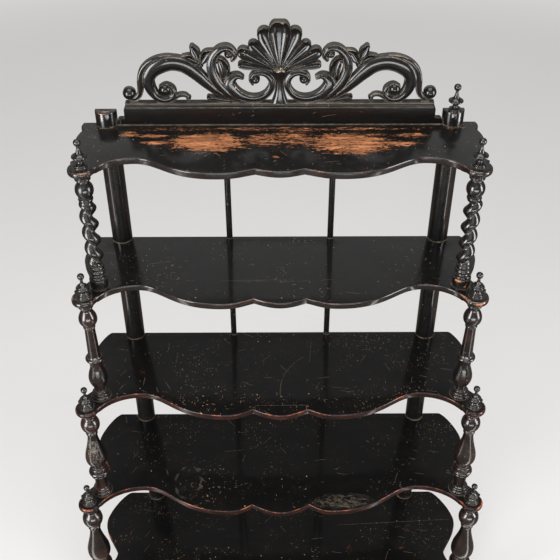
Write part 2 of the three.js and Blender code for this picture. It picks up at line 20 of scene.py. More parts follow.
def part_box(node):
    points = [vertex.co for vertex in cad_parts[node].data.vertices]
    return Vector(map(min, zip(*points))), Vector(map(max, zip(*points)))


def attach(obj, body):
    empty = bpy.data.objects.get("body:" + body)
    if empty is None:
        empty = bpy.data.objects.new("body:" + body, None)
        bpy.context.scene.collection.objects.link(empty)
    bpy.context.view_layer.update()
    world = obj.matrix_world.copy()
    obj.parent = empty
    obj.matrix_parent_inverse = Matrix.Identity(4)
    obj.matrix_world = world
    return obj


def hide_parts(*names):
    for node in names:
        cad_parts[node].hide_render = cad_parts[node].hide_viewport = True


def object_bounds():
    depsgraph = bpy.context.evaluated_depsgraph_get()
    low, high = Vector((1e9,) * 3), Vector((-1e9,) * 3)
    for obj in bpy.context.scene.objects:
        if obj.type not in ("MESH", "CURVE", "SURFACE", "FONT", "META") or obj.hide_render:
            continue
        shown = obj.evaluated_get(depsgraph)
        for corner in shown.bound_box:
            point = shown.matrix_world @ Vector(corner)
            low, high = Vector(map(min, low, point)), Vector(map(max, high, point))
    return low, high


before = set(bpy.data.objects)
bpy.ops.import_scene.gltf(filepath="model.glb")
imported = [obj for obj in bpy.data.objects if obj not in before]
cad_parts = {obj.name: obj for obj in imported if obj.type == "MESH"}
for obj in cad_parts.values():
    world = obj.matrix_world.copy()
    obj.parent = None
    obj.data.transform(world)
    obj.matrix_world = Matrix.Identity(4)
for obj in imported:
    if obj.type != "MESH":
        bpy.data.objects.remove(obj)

MM = 0.001
BODY = "root"
CAD_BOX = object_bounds()
LOG = logging.getLogger("etagere")
MERGE = 2e-6
TOUCH = 1e-6

Pair = tuple[float, float]
Triple = tuple[float, float, float]
Colour = tuple[float, float, float]
Material = bpy.types.Material
Socket = bpy.types.NodeSocket
Piece = bpy.types.Object
World = bpy.types.World


class Side(Enum):
    """The two halves of the etagere, seen from in front, with the sign of their X."""

    LEFT = -1
    RIGHT = 1

    @property
    def label(self) -> str:
        """The word for this side in the frame's node names."""
        return self.name.lower()


class Slot(Enum):
    """The record's material slots."""

    BOARD = "ebonised_board"
    CARVING = "ebonised_carving"
    TURNING = "ebonised_turning"
    UMBER = "umber_turning"
    BARE = "bare_wood"
    STEEL = "screw_steel"


class Plane(Enum):
    """The plane in which a finish lays its scratches."""

    LEVEL = "XY"
    UPRIGHT = "XZ"


def arc(centre: Pair, radius: float, start: float, end: float, steps: int) -> list[Pair]:
    """Points on a stretch of a circle.

    Args:
        centre: Middle of the circle.
        radius: Radius of the circle.
        start: First angle, in radians.
        end: Last angle, in radians.
        steps: Number of chords.

    Returns:
        The points, one more than the chords.
    """
    turns = [start + (end - start) * i / steps for i in range(steps + 1)]
    return [(centre[0] + radius * math.cos(t), centre[1] + radius * math.sin(t)) for t in turns]


def sweep(start: Pair, end: Pair, start_shares: Pair, end_shares: Pair, steps: int) -> list[Pair]:
    """A curve whose two handles are shares of the way between its ends.

    Args:
        start: First point.
        end: Last point.
        start_shares: Handle at the first point, as shares of the way in x and y.
        end_shares: Handle at the last point, measured back from it.
        steps: Number of chords.

    Returns:
        The points, both ends included.
    """
    a, d = np.array(start, float), np.array(end, float)
    way = d - a
    b, c = a + way * start_shares, d - way * end_shares
    t = np.linspace(0, 1, steps + 1)[:, None]
    curve = a * (1 - t) ** 3 + 3 * b * t * (1 - t) ** 2 + 3 * c * t**2 * (1 - t) + d * t**3
    return [(float(x), float(y)) for x, y in curve]


def blend(first: np.ndarray, second: np.ndarray, start: float, end: float, at: float) -> np.ndarray:
    """The point between two others that a value between their own stands for."""
    return first * (end - at) / (end - start) + second * (at - start) / (end - start)


def smooth(points: Sequence[Sequence[float]], steps: int) -> np.ndarray:
    """A centripetal Catmull-Rom curve through points of any dimension.

    Args:
        points: The points to pass through.
        steps: Chords between each two points.

    Returns:
        The curve's points, one row each.
    """
    p = np.array(points, float)
    p = np.vstack([2 * p[0] - p[1], p, 2 * p[-1] - p[-2]])
    chords = np.maximum(np.linalg.norm(np.diff(p, axis=0), axis=1), TOUCH)
    knots = np.concatenate([[0], np.cumsum(chords**0.5)])
    rows = []
    for i in range(1, len(p) - 2):
        near, k = p[i - 1 : i + 3], knots[i - 1 : i + 3]
        last = i == len(p) - 3
        for t in np.linspace(k[1], k[2], steps + 1)[: None if last else -1]:
            a = [blend(near[j], near[j + 1], k[j], k[j + 1], t) for j in range(3)]
            b = [blend(a[j], a[j + 1], k[j], k[j + 2], t) for j in range(2)]
            rows.append(blend(b[0], b[1], k[1], k[2], t))
    return np.array(rows)


def ease(value: float, low: float, high: float) -> float:
    """A smooth step from 0 at low to 1 at high."""
    share = min(1.0, max(0.0, (value - low) / (high - low)))
    return share * share * (3 - 2 * share)


def dome(share: float) -> float:
    """Height of a quarter circle at a share of the way in from its foot."""
    return math.sqrt(max(0.0, 1 - (1 - share) ** 2))


def circle(radius: float, sides: int, x: float = 0.0, y: float = 0.0) -> list[Pair]:
    """Points spaced evenly round the circle whose middle is at x and y."""
    turns = [math.tau * i / sides for i in range(sides)]
    return [(x + radius * math.cos(t), y + radius * math.sin(t)) for t in turns]


@dataclass
class Form:
    """A mesh in the making, in millimetres, with how rubbed and how dusty each of its points is."""

    points: list[Triple] = field(default_factory=list)
    faces: list[tuple[int, ...]] = field(default_factory=list)
    rub: list[float] = field(default_factory=list)
    dust: list[float] = field(default_factory=list)
    flats: list[tuple[int, float]] = field(default_factory=list)
    sharp: float = 38.0

    def ring(self, points: Sequence[Triple], rub: float | Sequence[float] = 0.0,
             dust: float | Sequence[float] = 0.0) -> list[int]:
        """Adds points.

        Args:
            points: The points to add.
            rub: How rubbed they are, from 0 to 1, as one number or one for each.
            dust: How dusty they are, from 0 to 1, as one number or one for each.

        Returns:
            Their places in the list of points.
        """
        first = len(self.points)
        self.points += [(float(x), float(y), float(z)) for x, y, z in points]
        self.rub += list(rub) if isinstance(rub, Sequence) else [rub] * len(points)
        self.dust += list(dust) if isinstance(dust, Sequence) else [dust] * len(points)
        return list(range(first, len(self.points)))

    def skin(self, rings: Sequence[list[int]]) -> None:
        """Joins rings of points by faces.

        Args:
            rings: Rings in order. A ring of one point is a tip.
        """
        for low, high in zip(rings, rings[1:]):
            count = max(len(low), len(high))
            for j in range(count):
                k = (j + 1) % count
                foot = low if len(low) == 1 else (low[j], low[k])
                head = high if len(high) == 1 else (high[k], high[j])
                self.faces.append((*foot, *head))

    def cap(self, ring: list[int]) -> None:
        """Closes a ring with one face."""
        self.faces.append(tuple(ring))

    def tube(self, rings: Sequence[list[int]]) -> None:
        """Joins rings of points by faces and closes both ends.

        Args:
            rings: Rings in order.
        """
        self.skin(rings)
        self.cap(rings[0])
        self.cap(rings[-1])

    def moved(self, shift: Triple, flip: bool = False) -> "Form":
        """A copy of this form in another place.

        Args:
            shift: Way to move, in millimetres.
            flip: Whether X is mirrored before the move.

        Returns:
            The copy.
        """
        sign = -1 if flip else 1
        points = [(sign * x + shift[0], y + shift[1], z + shift[2]) for x, y, z in self.points]
        flats = [(axis, at + shift[axis]) for axis, at in self.flats]
        return Form(points, list(self.faces), list(self.rub), list(self.dust), flats, self.sharp)

    def join(self, other: "Form") -> None:
        """Adds another form's points and faces to this one.

        Args:
            other: The other form.
        """
        first = len(self.points)
        self.points += other.points
        self.faces += [tuple(first + i for i in face) for face in other.faces]
        self.rub += other.rub
        self.dust += other.dust

    def build(self, name: str, material: Material | None = None) -> Piece:
        """Makes the Blender object, with its faces pointing out and its rims filled.

        Args:
            name: Name of the object.
            material: Its finish, which only a cutter goes without.

        Returns:
            The object, in the frame's own place and in metres.
        """
        mesh = bpy.data.meshes.new(name)
        mesh.from_pydata([tuple(v * MM for v in p) for p in self.points], [], self.faces)
        for key, values in (("rub", self.rub), ("dust", self.dust)):
            mesh.attributes.new(key, "FLOAT", "POINT").data.foreach_set("value", values)
        work = bmesh.new()
        work.from_mesh(mesh)
        bmesh.ops.remove_doubles(work, verts=work.verts, dist=MERGE)
        bmesh.ops.dissolve_degenerate(work, edges=work.edges, dist=TOUCH)
        for flat in self.flats:
            rim = [e for e in work.edges if e.is_boundary and self._lies_on(e, flat)]
            bmesh.ops.triangle_fill(work, use_beauty=True, edges=rim)
        bmesh.ops.recalc_face_normals(work, faces=work.faces)
        for face in work.faces:
            face.smooth = not any(self._lies_on(face, flat) for flat in self.flats)
        work.to_mesh(mesh)
        work.free()
        mesh.set_sharp_from_angle(angle=math.radians(self.sharp))
        if material:
            mesh.materials.append(material)
        made = bpy.data.objects.new(name, mesh)
        bpy.context.scene.collection.objects.link(made)
        return made

    @staticmethod
    def _lies_on(part: bmesh.types.BMEdge | bmesh.types.BMFace, flat: tuple[int, float]) -> bool:
        """Whether all of an edge's or face's points lie on a flat."""
        axis, at = flat
        return all(abs(v.co[axis] - at * MM) < TOUCH for v in part.verts)


def fit(piece: Piece, slot: Slot, *nodes: str) -> Piece:
    """Seats a piece on the frame and logs it.

    Args:
        piece: The piece, in its place.
        slot: Not used.
        nodes: The frame's nodes that it stands for.

    Returns:
        The same piece.
    """
    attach(piece, BODY)
    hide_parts(*nodes)
    LOG.info("%s: %d faces, for %s", piece.name, len(piece.data.polygons), ", ".join(nodes))
    return piece


def cut(piece: Piece, tool: Piece) -> None:
    """Cuts one mesh out of another and removes the cutter.

    Args:
        piece: The mesh that is cut.
        tool: The mesh that cuts it.
    """
    modifier = piece.modifiers.new("cut", "BOOLEAN")
    modifier.object, modifier.operation, modifier.solver = tool, "DIFFERENCE", "EXACT"
    bpy.context.view_layer.update()
    cut_mesh = bpy.data.meshes.new_from_object(piece.evaluated_get(bpy.context.evaluated_depsgraph_get()))
    piece.modifiers.clear()
    piece.data = cut_mesh
    bpy.data.objects.remove(tool)


def box_of(node: str) -> tuple[Vector, Vector]:
    """A node's lowest and highest corners, in millimetres."""
    low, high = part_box(node)
    return low / MM, high / MM


def axis_of(node: str) -> Pair:
    """Where the upright line through a node's middle stands, in millimetres."""
    low, high = box_of(node)
    return (low.x + high.x) / 2, (low.y + high.y) / 2


# Finishes


@dataclass(frozen=True)
class Noise:
    """Cloudy noise: its grain's size in millimetres, its finer layers, and where it steps from 0 to 1."""

    size: float | Triple
    layers: float = 3.0
    rough: float = 0.55
    twist: float = 0.0
    low: float = 0.35
    high: float = 0.65

    @property
    def density(self) -> Triple:
        """Grains to the millimetre along X, Y and Z."""
        sizes = self.size if isinstance(self.size, tuple) else (self.size,) * 3
        return tuple(1 / size for size in sizes)


class Graph:
    """The nodes of one material or world, with the mesh's own place in millimetres as their map."""

    def __init__(self, owner: Material | World) -> None:
        """Starts the nodes.

        Args:
            owner: The new material or world.
        """
        owner.use_nodes = True
        self.owner, self.tree = owner, owner.node_tree
        self.shader = self.tree.nodes["Background" if isinstance(owner, World) else "Principled BSDF"]

    @cached_property
    def place(self) -> Socket:
        """The mesh's own place, in millimetres."""
        inputs = {0: self.node("ShaderNodeTexCoord").outputs["Object"], "Scale": 1 / MM}
        return self.node("ShaderNodeVectorMath", inputs, operation="SCALE").outputs[0]

    @cached_property
    def axes(self) -> tuple[Socket, Socket, Socket]:
        """The three parts of the mesh's own place."""
        return self.parts(self.place)

    def node(self, kind: str, inputs: dict | None = None, **settings: object) -> bpy.types.Node:
        """Adds a node.

        Args:
            kind: The node's type.
            inputs: A value or a socket for each named or numbered input.
            settings: Properties of the node.

        Returns:
            The node.
        """
        made = self.tree.nodes.new(kind)
        for key, value in settings.items():
            setattr(made, key, value)
        for key, value in (inputs or {}).items():
            self.feed(made.inputs[key], value)
        return made

    def feed(self, socket: Socket, value: object) -> None:
        """Links a socket to an input, or sets its value.

        Args:
            socket: The input.
            value: A socket or a value.
        """
        if isinstance(value, Socket):
            self.tree.links.new(value, socket)
        elif isinstance(value, tuple) and len(value) == 3 and socket.type == "RGBA":
            socket.default_value = (*value, 1)
        else:
            socket.default_value = value

    def shade(self, values: dict[str, object]) -> Material | World:
        """Feeds the shader's own sockets.

        Args:
            values: A value or a socket for each named input.

        Returns:
            The material or world.
        """
        for name, value in values.items():
            self.feed(self.shader.inputs[name], value)
        return self.owner

    def math(self, operation: str, *values: object, clamp: bool = False) -> Socket:
        """Blender's sum of one to three values, kept between 0 and 1 where it is clamped."""
        inputs = dict(enumerate(values))
        return self.node("ShaderNodeMath", inputs, operation=operation, use_clamp=clamp).outputs[0]

    def plus(self, *values: object) -> Socket:
        """The sum of some values."""
        return reduce(lambda a, b: self.math("ADD", a, b), values)

    def minus(self, first: object, second: object) -> Socket:
        """One value less another."""
        return self.math("SUBTRACT", first, second)

    def times(self, *values: object) -> Socket:
        """The product of some values."""
        return reduce(lambda a, b: self.math("MULTIPLY", a, b), values)

    def most(self, *values: object) -> Socket:
        """The largest of some values."""
        return reduce(lambda a, b: self.math("MAXIMUM", a, b), values)

    def line(self, value: Socket, slope: float, start: object) -> Socket:
        """A value times a slope, added to a start."""
        return self.math("MULTIPLY_ADD", value, slope, start)

    def size(self, value: Socket) -> Socket:
        """A value without its sign."""
        return self.math("ABSOLUTE", value)

    def step(self, value: Socket, low: float, high: float) -> Socket:
        """A smooth step.

        Args:
            value: What is stepped.
            low: Where the step is 0.
            high: Where it is 1, above low or below it.

        Returns:
            The step.
        """
        falling = low > high
        made = self.node("ShaderNodeMapRange",
                         {"Value": value, "From Min": min(low, high), "From Max": max(low, high),
                          "To Min": 1.0 if falling else 0.0, "To Max": 0.0 if falling else 1.0},
                         interpolation_type="SMOOTHSTEP")
        return made.outputs[0]

    def vector(self, operation: str, *values: object) -> Socket:
        """A sum of vectors, whose result is a number for LENGTH and DOT_PRODUCT."""
        made = self.node("ShaderNodeVectorMath", dict(enumerate(values)), operation=operation)
        return made.outputs["Value" if operation in ("LENGTH", "DOT_PRODUCT") else "Vector"]

    def parts(self, vector: Socket) -> tuple[Socket, Socket, Socket]:
        """The three parts of a vector."""
        made = self.node("ShaderNodeSeparateXYZ", {0: vector})
        return made.outputs[0], made.outputs[1], made.outputs[2]

    def spread(self, middle: Triple, reach: Triple) -> Socket:
        """How far a point lies from a middle, as a share of the reach.

        Args:
            middle: The middle, in millimetres.
            reach: The reach along X, Y and Z. Along an axis where it is 0 nothing is measured.

        Returns:
            0 at the middle and 1 where the reach ends.
        """
        shift = self.vector("SUBTRACT", self.place, middle)
        shares = tuple(1 / r if r else 0.0 for r in reach)
        return self.vector("LENGTH", self.vector("MULTIPLY", shift, shares))

    def flat_place(self, plane: Plane) -> Socket:
        """The mesh's place with the plane's two directions first and nothing third."""
        x, y, z = self.axes
        return self.node("ShaderNodeCombineXYZ", {0: x, 1: y if plane is Plane.LEVEL else z}).outputs[0]

    def noise(self, noise: Noise) -> Socket:
        """Noise, not stepped.

        Args:
            noise: Its kind.

        Returns:
            A number that lies mostly between 0.3 and 0.7.
        """
        scaled = self.vector("MULTIPLY", self.place, noise.density)
        inputs = {"Vector": scaled, "Scale": 1.0, "Detail": noise.layers, "Roughness": noise.rough,
                  "Distortion": noise.twist}
        return self.node("ShaderNodeTexNoise", inputs).outputs[0]

    def cover(self, noise: Noise) -> Socket:
        """Noise stepped from 0 to 1 between its low and its high."""
        return self.step(self.noise(noise), noise.low, noise.high)

    def mix(self, share: Socket, first: Socket | Colour, second: Socket | Colour) -> Socket:
        """The first colour, with a share of the second laid over it."""
        return self.node("ShaderNodeMix", {0: share, 6: first, 7: second}, data_type="RGBA").outputs[2]

    def attribute(self, name: str) -> Socket:
        """A number that the mesh holds at its points."""
        return self.node("ShaderNodeAttribute", attribute_name=name).outputs["Fac"]

    def crevice(self, reach: float) -> Socket:
        """How deep in a corner a point lies, from 0 in the open to 1, felt over a reach in millimetres."""
        shelter = self.node("ShaderNodeAmbientOcclusion", {"Distance": reach * MM}, samples=6)
        return self.minus(1.0, shelter.outputs["AO"])

    def cells(self, plane: Plane, size: float) -> tuple[Socket, Socket, Socket, Socket]:
        """Random cells in a plane.

        Args:
            plane: The plane that they lie in.
            size: Width of a cell in millimetres.

        Returns:
            The place measured from the middle of its cell, and three random numbers of the cell.
        """
        place = self.flat_place(plane)
        inputs = {"Vector": place, "Scale": 1 / size}
        made = self.node("ShaderNodeTexVoronoi", inputs, voronoi_dimensions="2D")
        draws = self.node("ShaderNodeSeparateColor", {0: made.outputs["Color"]}).outputs
        return self.vector("SUBTRACT", place, made.outputs["Position"]), draws[0], draws[1], draws[2]

    def specks(self, plane: Plane, size: float, share: float, radius: float) -> Socket:
        """Small round specks.

        Args:
            plane: The plane that they lie in.
            size: Width of the cell that holds each, in millimetres.
            share: Share of the cells that hold one.
            radius: Radius of the largest, in millimetres.

        Returns:
            1 on a speck and 0 elsewhere.
        """
        offset, first, second, _ = self.cells(plane, size)
        reach = self.line(second, radius * 0.8, radius * 0.2)
        near = self.math("DIVIDE", self.vector("LENGTH", offset), reach)
        return self.times(self.step(near, 1.0, 0.5), self.math("LESS_THAN", first, share))

    def scratches(self, plane: Plane, size: float, share: float, width: float) -> Socket:
        """Short straight scratches in every direction.

        Args:
            plane: The plane that they lie in.
            size: Width of the cell that holds each, in millimetres.
            share: Share of the cells that hold one.
            width: Half the width of the widest, in millimetres.

        Returns:
            1 on a scratch and 0 elsewhere.
        """
        offset, first, second, third = self.cells(plane, size)
        inputs = {"Vector": offset, "Angle": self.times(second, math.tau)}
        turned = self.node("ShaderNodeVectorRotate", inputs, rotation_type="Z_AXIS").outputs[0]
        along, across, _ = self.parts(turned)
        reach = self.line(third, size * 0.32, size * 0.06)
        short = self.step(self.math("DIVIDE", self.size(along), reach), 1.0, 0.6)
        thin = self.step(self.size(across), width, width * 0.3)
        return self.times(short, thin, self.math("LESS_THAN", first, share))


@dataclass(frozen=True)
class Patch:
    """A place on a shelf's top where the polish is worn through to the wood."""

    x: float
    y: float
    half_x: float
    half_y: float
    strength: float = 1.0

    def drawn(self, g: Graph) -> Socket:
        """Draws the patch.

        Args:
            g: The material's nodes.

        Returns:
            How deep it is worn: above 0 inside it and below 0 outside.
        """
        inside = g.minus(1.0, g.spread((self.x, self.y, 0.0), (self.half_x, self.half_y, 0.0)))
        inside = g.math("MINIMUM", g.times(inside, 1.4), 0.62)
        return g.times(g.most(inside, -1.0), self.strength)


@dataclass(frozen=True)
class Stroke:
    """A long pale scratch on a shelf's top, with the height of its bow as its bend."""

    start: Pair
    end: Pair
    width: float = 0.5
    bend: float = 0.0
    strength: float = 0.42

    def drawn(self, g: Graph) -> Socket:
        """Draws the scratch.

        Args:
            g: The material's nodes.

        Returns:
            1 on it and 0 elsewhere.
        """
        start, end = Vector(self.start), Vector(self.end)
        middle, way = (start + end) / 2, end - start
        along = way.normalized()
        shift = g.vector("SUBTRACT", g.place, (*middle, 0.0))
        u = g.vector("DOT_PRODUCT", shift, (along.x, along.y, 0.0))
        v = g.vector("DOT_PRODUCT", shift, (-along.y, along.x, 0.0))
        share = g.math("DIVIDE", u, way.length / 2)
        bow = g.times(g.minus(1.0, g.times(share, share)), self.bend)
        near = g.step(g.size(g.minus(v, bow)), self.width, self.width * 0.35)
        return g.times(near, g.step(g.size(share), 1.0, 0.92))


@dataclass(frozen=True)
class Stain:
    """A dusty ring or pool on a shelf's top, with the strengths of its rim and its pool."""

    x: float
    y: float
    half_x: float
    half_y: float
    rim: float = 0.3
    pool: float = 0.1

    def drawn(self, g: Graph) -> Socket:
        """Draws the stain.

        Args:
            g: The material's nodes.

        Returns:
            How strongly it shows.
        """
        spread = g.spread((self.x, self.y, 0.0), (self.half_x, self.half_y, 0.0))
        ragged = g.plus(spread, g.line(g.noise(STAIN_EDGE), 0.6, -0.3))
        rim = g.times(g.step(g.size(g.minus(ragged, 1.0)), 0.12, 0.0), g.cover(STAIN_RIM))
        pool = g.times(g.step(ragged, 1.0, 0.6), g.cover(STAIN_POOL))
        return g.plus(g.times(rim, self.rim), g.times(pool, self.pool))


@dataclass(frozen=True)
class Scuff:
    """One worn spot: its middle, its reach along X, Y and Z, its colour and how much of it is worn."""

    place: Triple
    reach: Triple
    colour: Colour
    cover: float

    def drawn(self, g: Graph) -> Socket:
        """Draws the spot.

        Args:
            g: The material's nodes.

        Returns:
            How strongly it shows.
        """
        spread = g.spread(self.place, self.reach)
        level = g.line(g.step(spread, 1.0, 0.35), 0.5 * self.cover, g.noise(SCUFFING))
        return g.times(g.step(level, 0.7, 0.79), g.step(spread, 1.0, 0.9))


CLOUDS = Noise((55.0, 42.0, 55.0), 3.0, 0.5)
CHIPPING = Noise(3.2, 4.0, 0.65)
WIDE_WEAR = Noise((34.0, 34.0, 20.0), 2.0, 0.5)
WOOD_FIBRES = Noise((44.0, 7.0, 5.0), 6.0, 0.8, low=0.38, high=0.62)
WOOD_SHADES = Noise((60.0, 16.0, 20.0), low=0.3, high=0.6)
EDGE_WEAR = Noise((30.0, 30.0, 4.5), 5.0, 0.65, low=0.4, high=0.62)
WORN_STREAKS = Noise((48.0, 6.5, 10.0), twist=0.15)
WORN_FLECKS = Noise((8.0, 2.6, 4.0), 5.0, 0.78)
SCUFFING = Noise(5.0, 5.0, 0.7)
RIPPLES = Noise(5.0, 2.0)
DUST_HAZE = Noise(16.0, 4.0, 0.6, low=0.35, high=0.7)
SMEARS = Noise((22.0, 9.0, 22.0), 4.0, 0.62, 0.4, low=0.36, high=0.72)
CHIP_CROWDS = Noise((110.0, 80.0, 110.0), 2.0, low=0.5, high=0.62)
MARK_CROWDS = Noise((120.0, 90.0, 120.0), 2.0, low=0.48, high=0.62)
BREAKS = Noise(9.0, low=0.3, high=0.55)
STAIN_EDGE = Noise(22.0, 5.0, 0.6)
STAIN_RIM = Noise(30.0, 4.0, low=0.4, high=0.62)
STAIN_POOL = Noise((16.0, 8.0, 10.0), 5.0, 0.75, 0.8, low=0.42, high=0.7)


@dataclass(frozen=True)
class Polish:
    """Black polish over wood, with its wear, dust and scratches."""

    name: str
    coat: Colour = (0.0026, 0.0025, 0.0025)
    under: Colour = (0.0085, 0.006, 0.0048)
    under_share: float = 0.4
    gloss: float = 0.07
    matt: float = 0.12
    film: float = 1.0
    rubbed: Colour = (0.06, 0.026, 0.016)
    rub_share: float = 0.5
    bare: Colour = (0.36, 0.17, 0.085)
    chip_share: float = 0.35
    edge: Colour | None = None
    dirt: Colour = (0.2, 0.17, 0.13)
    dirt_share: float = 0.75
    corner: Triple = (5.0, 0.2, 0.5)
    veil: float = 0.008
    speck: Colour = (0.5, 0.34, 0.2)
    speck_share: float = 0.22
    mark: Colour = (0.34, 0.28, 0.21)
    scratch_share: float = 0.3
    back: Colour = (0.022, 0.015, 0.011)
    specular: float = 0.12
    relief: float = 0.12
    plane: Plane = Plane.LEVEL
    grain: Triple = (60.0, 1.6, 1.6)
    patches: tuple[Patch, ...] = ()
    strokes: tuple[Stroke, ...] = ()
    stains: tuple[Stain, ...] = ()
    scuffs: tuple[Scuff, ...] = ()

    def material(self) -> Material:
        """Builds the finish.

        Returns:
            The material.
        """
        g = Graph(bpy.data.materials.new(self.name))
        grain, cloud, rub = g.noise(Noise(self.grain, 4.0, 0.6)), g.noise(CLOUDS), g.attribute("rub")
        _, depth, height = g.parts(g.node("ShaderNodeNewGeometry").outputs["Normal"])
        mottle = g.plus(g.times(cloud, 0.7), g.times(grain, 0.4))
        thin = g.times(g.step(mottle, 0.48, 0.72), self.under_share)
        colour = g.mix(g.times(thin, g.line(rub, -0.8, 1.0)), self.coat, self.under)
        if self.edge:
            colour = self._edge(g, colour, height, cloud)
        loose = g.plus(g.times(g.noise(CHIPPING), 1.1), g.times(g.noise(WIDE_WEAR), 1.7))
        touch = g.line(rub, 0.5, g.minus(loose, 1.4))
        rubbed_from, chipped_from = 0.75 - self.rub_share * 0.5, 1.0 - self.chip_share * 0.45
        colour = g.mix(g.times(g.step(touch, rubbed_from, rubbed_from + 0.3), 0.8), colour, self.rubbed)
        worn = g.step(touch, chipped_from, chipped_from + 0.05)
        if self.patches:
            worn = g.most(worn, self._patches(g, height))
        colour = g.mix(worn, colour, self._wood(g))
        for scuff in self.scuffs:
            share = scuff.drawn(g)
            colour = g.mix(share, colour, scuff.colour)
            worn = g.most(worn, share)
        shown = g.step(height, 0.55, 0.95) if self.plane is Plane.LEVEL else g.step(depth, -0.3, -0.8)
        marks, specks, haze = self._marks(g, shown), self._specks(g, shown), g.cover(DUST_HAZE)
        corner = g.step(g.crevice(self.corner[0]), self.corner[1], self.corner[2])
        settled = g.most(corner, g.times(g.attribute("dust"), 0.8))
        dirt = g.times(settled, g.line(haze, 0.6, 0.4), self.dirt_share)
        colour = g.mix(g.math("ADD", dirt, g.times(shown, haze, self.veil), clamp=True), colour, self.dirt)
        colour = g.mix(g.times(marks, 0.8), colour, self.mark)
        colour = g.mix(g.times(specks, 0.9), colour, self.speck)
        rear = g.most(g.step(depth, 0.8, 0.97), g.step(height, -0.8, -0.97))
        colour = g.mix(g.times(rear, g.line(grain, 0.8, 0.1)), colour, self.back)
        dull = g.math("ADD", g.plus(worn, dirt, g.line(rear, 0.85, marks)), specks, clamp=True)
        bump = self._bump(g, grain, worn, marks)
        return g.shade({
            "Base Color": colour,
            "Roughness": g.line(dull, 0.25, 0.38),
            "Specular IOR Level": self.specular,
            "Coat Weight": g.line(dull, -0.9 * self.film, self.film),
            "Coat Roughness": g.plus(g.times(g.cover(SMEARS), self.matt), self.gloss, g.times(dull, 0.3)),
            "Normal": bump,
            "Coat Normal": bump,
        })

    def _edge(self, g: Graph, colour: Socket, height: Socket, cloud: Socket) -> Socket:
        """Lays the edge's own colour on the faces that stand upright.

        Args:
            g: The material's nodes.
            colour: The colour below.
            height: How far the face looks up or down.
            cloud: Slow noise.

        Returns:
            The colour with the edge laid on.
        """
        side = g.step(g.size(height), 0.95, 0.6)
        mixed = g.mix(g.step(cloud, CLOUDS.low, CLOUDS.high), self.edge, tuple(0.45 * c for c in self.edge))
        return g.mix(g.times(side, g.line(g.cover(EDGE_WEAR), 0.9, 0.1)), colour, mixed)

    def _wood(self, g: Graph) -> Socket:
        """The colour of the bare wood."""
        dark, mid, light = (tuple(share * c for c in self.bare) for share in (0.3, 0.5, 1.3))
        return g.mix(g.cover(WOOD_SHADES), mid, g.mix(g.cover(WOOD_FIBRES), dark, light))

    def _patches(self, g: Graph, height: Socket) -> Socket:
        """Where the polish is worn through.

        Args:
            g: The material's nodes.
            height: How far the face looks up or down.

        Returns:
            1 on bare wood and 0 on polish.
        """
        torn = g.plus(g.times(g.noise(WORN_STREAKS), 1.4), g.times(g.noise(WORN_FLECKS), 2.9))
        inside = g.most(*(patch.drawn(g) for patch in self.patches))
        depth = g.plus(g.times(inside, 0.66), g.minus(torn, 2.43))
        return g.times(g.step(depth, 0.0, 0.06), g.step(height, 0.8, 0.95))

    def _specks(self, g: Graph, shown: Socket) -> Socket:
        """Small chips down to the wood, crowded in places.

        Args:
            g: The material's nodes.
            shown: 1 on the faces that take them.

        Returns:
            1 on a chip and 0 elsewhere.
        """
        small = g.times(g.specks(self.plane, 7.0, self.speck_share * 1.2, 1.0), g.cover(CHIP_CROWDS))
        return g.times(g.most(small, g.specks(self.plane, 30.0, self.speck_share, 1.7)), shown)

    def _marks(self, g: Graph, shown: Socket) -> Socket:
        """Pinpricks, scratches, long strokes and stains.

        Args:
            g: The material's nodes.
            shown: 1 on the faces that take them.

        Returns:
            How strongly a mark shows.
        """
        crowd, broken = g.cover(MARK_CROWDS), g.cover(BREAKS)
        pinpricks = g.times(g.specks(self.plane, 4.5, self.speck_share * 0.6, 0.4), crowd)
        long = g.times(g.scratches(self.plane, 48.0, self.scratch_share * 0.8, 0.42), 0.5)
        short = g.times(g.scratches(self.plane, 14.0, self.scratch_share, 0.45), g.times(crowd, 0.85))
        strokes = [g.times(stroke.drawn(g), g.times(broken, stroke.strength)) for stroke in self.strokes]
        stains = [stain.drawn(g) for stain in self.stains]
        return g.times(g.most(pinpricks, long, short, *strokes, *stains), shown)

    def _bump(self, g: Graph, grain: Socket, worn: Socket, marks: Socket) -> Socket:
        """The polish's relief.

        Args:
            g: The material's nodes.
            grain: The wood's grain.
            worn: Where the polish is gone.
            marks: Where it is marked.

        Returns:
            The bent direction of the face.
        """
        level = g.plus(g.minus(g.times(grain, 0.5), g.times(worn, 1.6)), g.times(g.noise(RIPPLES), 0.5))
        level = g.minus(level, g.times(marks, 0.7))
        inputs = {"Height": level, "Strength": 0.35, "Distance": self.relief * MM}
        return g.node("ShaderNodeBump", inputs).outputs[0]


@dataclass(frozen=True)
class ScrewMetal:
    """Dulled steel with brown rust."""

    name: str = "dulled_screw_steel"
    steel: Colour = (0.3, 0.28, 0.25)
    rust: Colour = (0.1, 0.04, 0.018)
    spots: Noise = Noise(2.2, 5.0, 0.7, low=0.42, high=0.6)

    def material(self) -> Material:
        """Builds the finish.

        Returns:
            The material.
        """
        g = Graph(bpy.data.materials.new(self.name))
        rusty = g.cover(self.spots)
        return g.shade({"Base Color": g.mix(rusty, self.steel, self.rust),
                        "Metallic": g.minus(1.0, g.times(rusty, 0.8)),
                        "Roughness": g.line(rusty, 0.4, 0.35)})


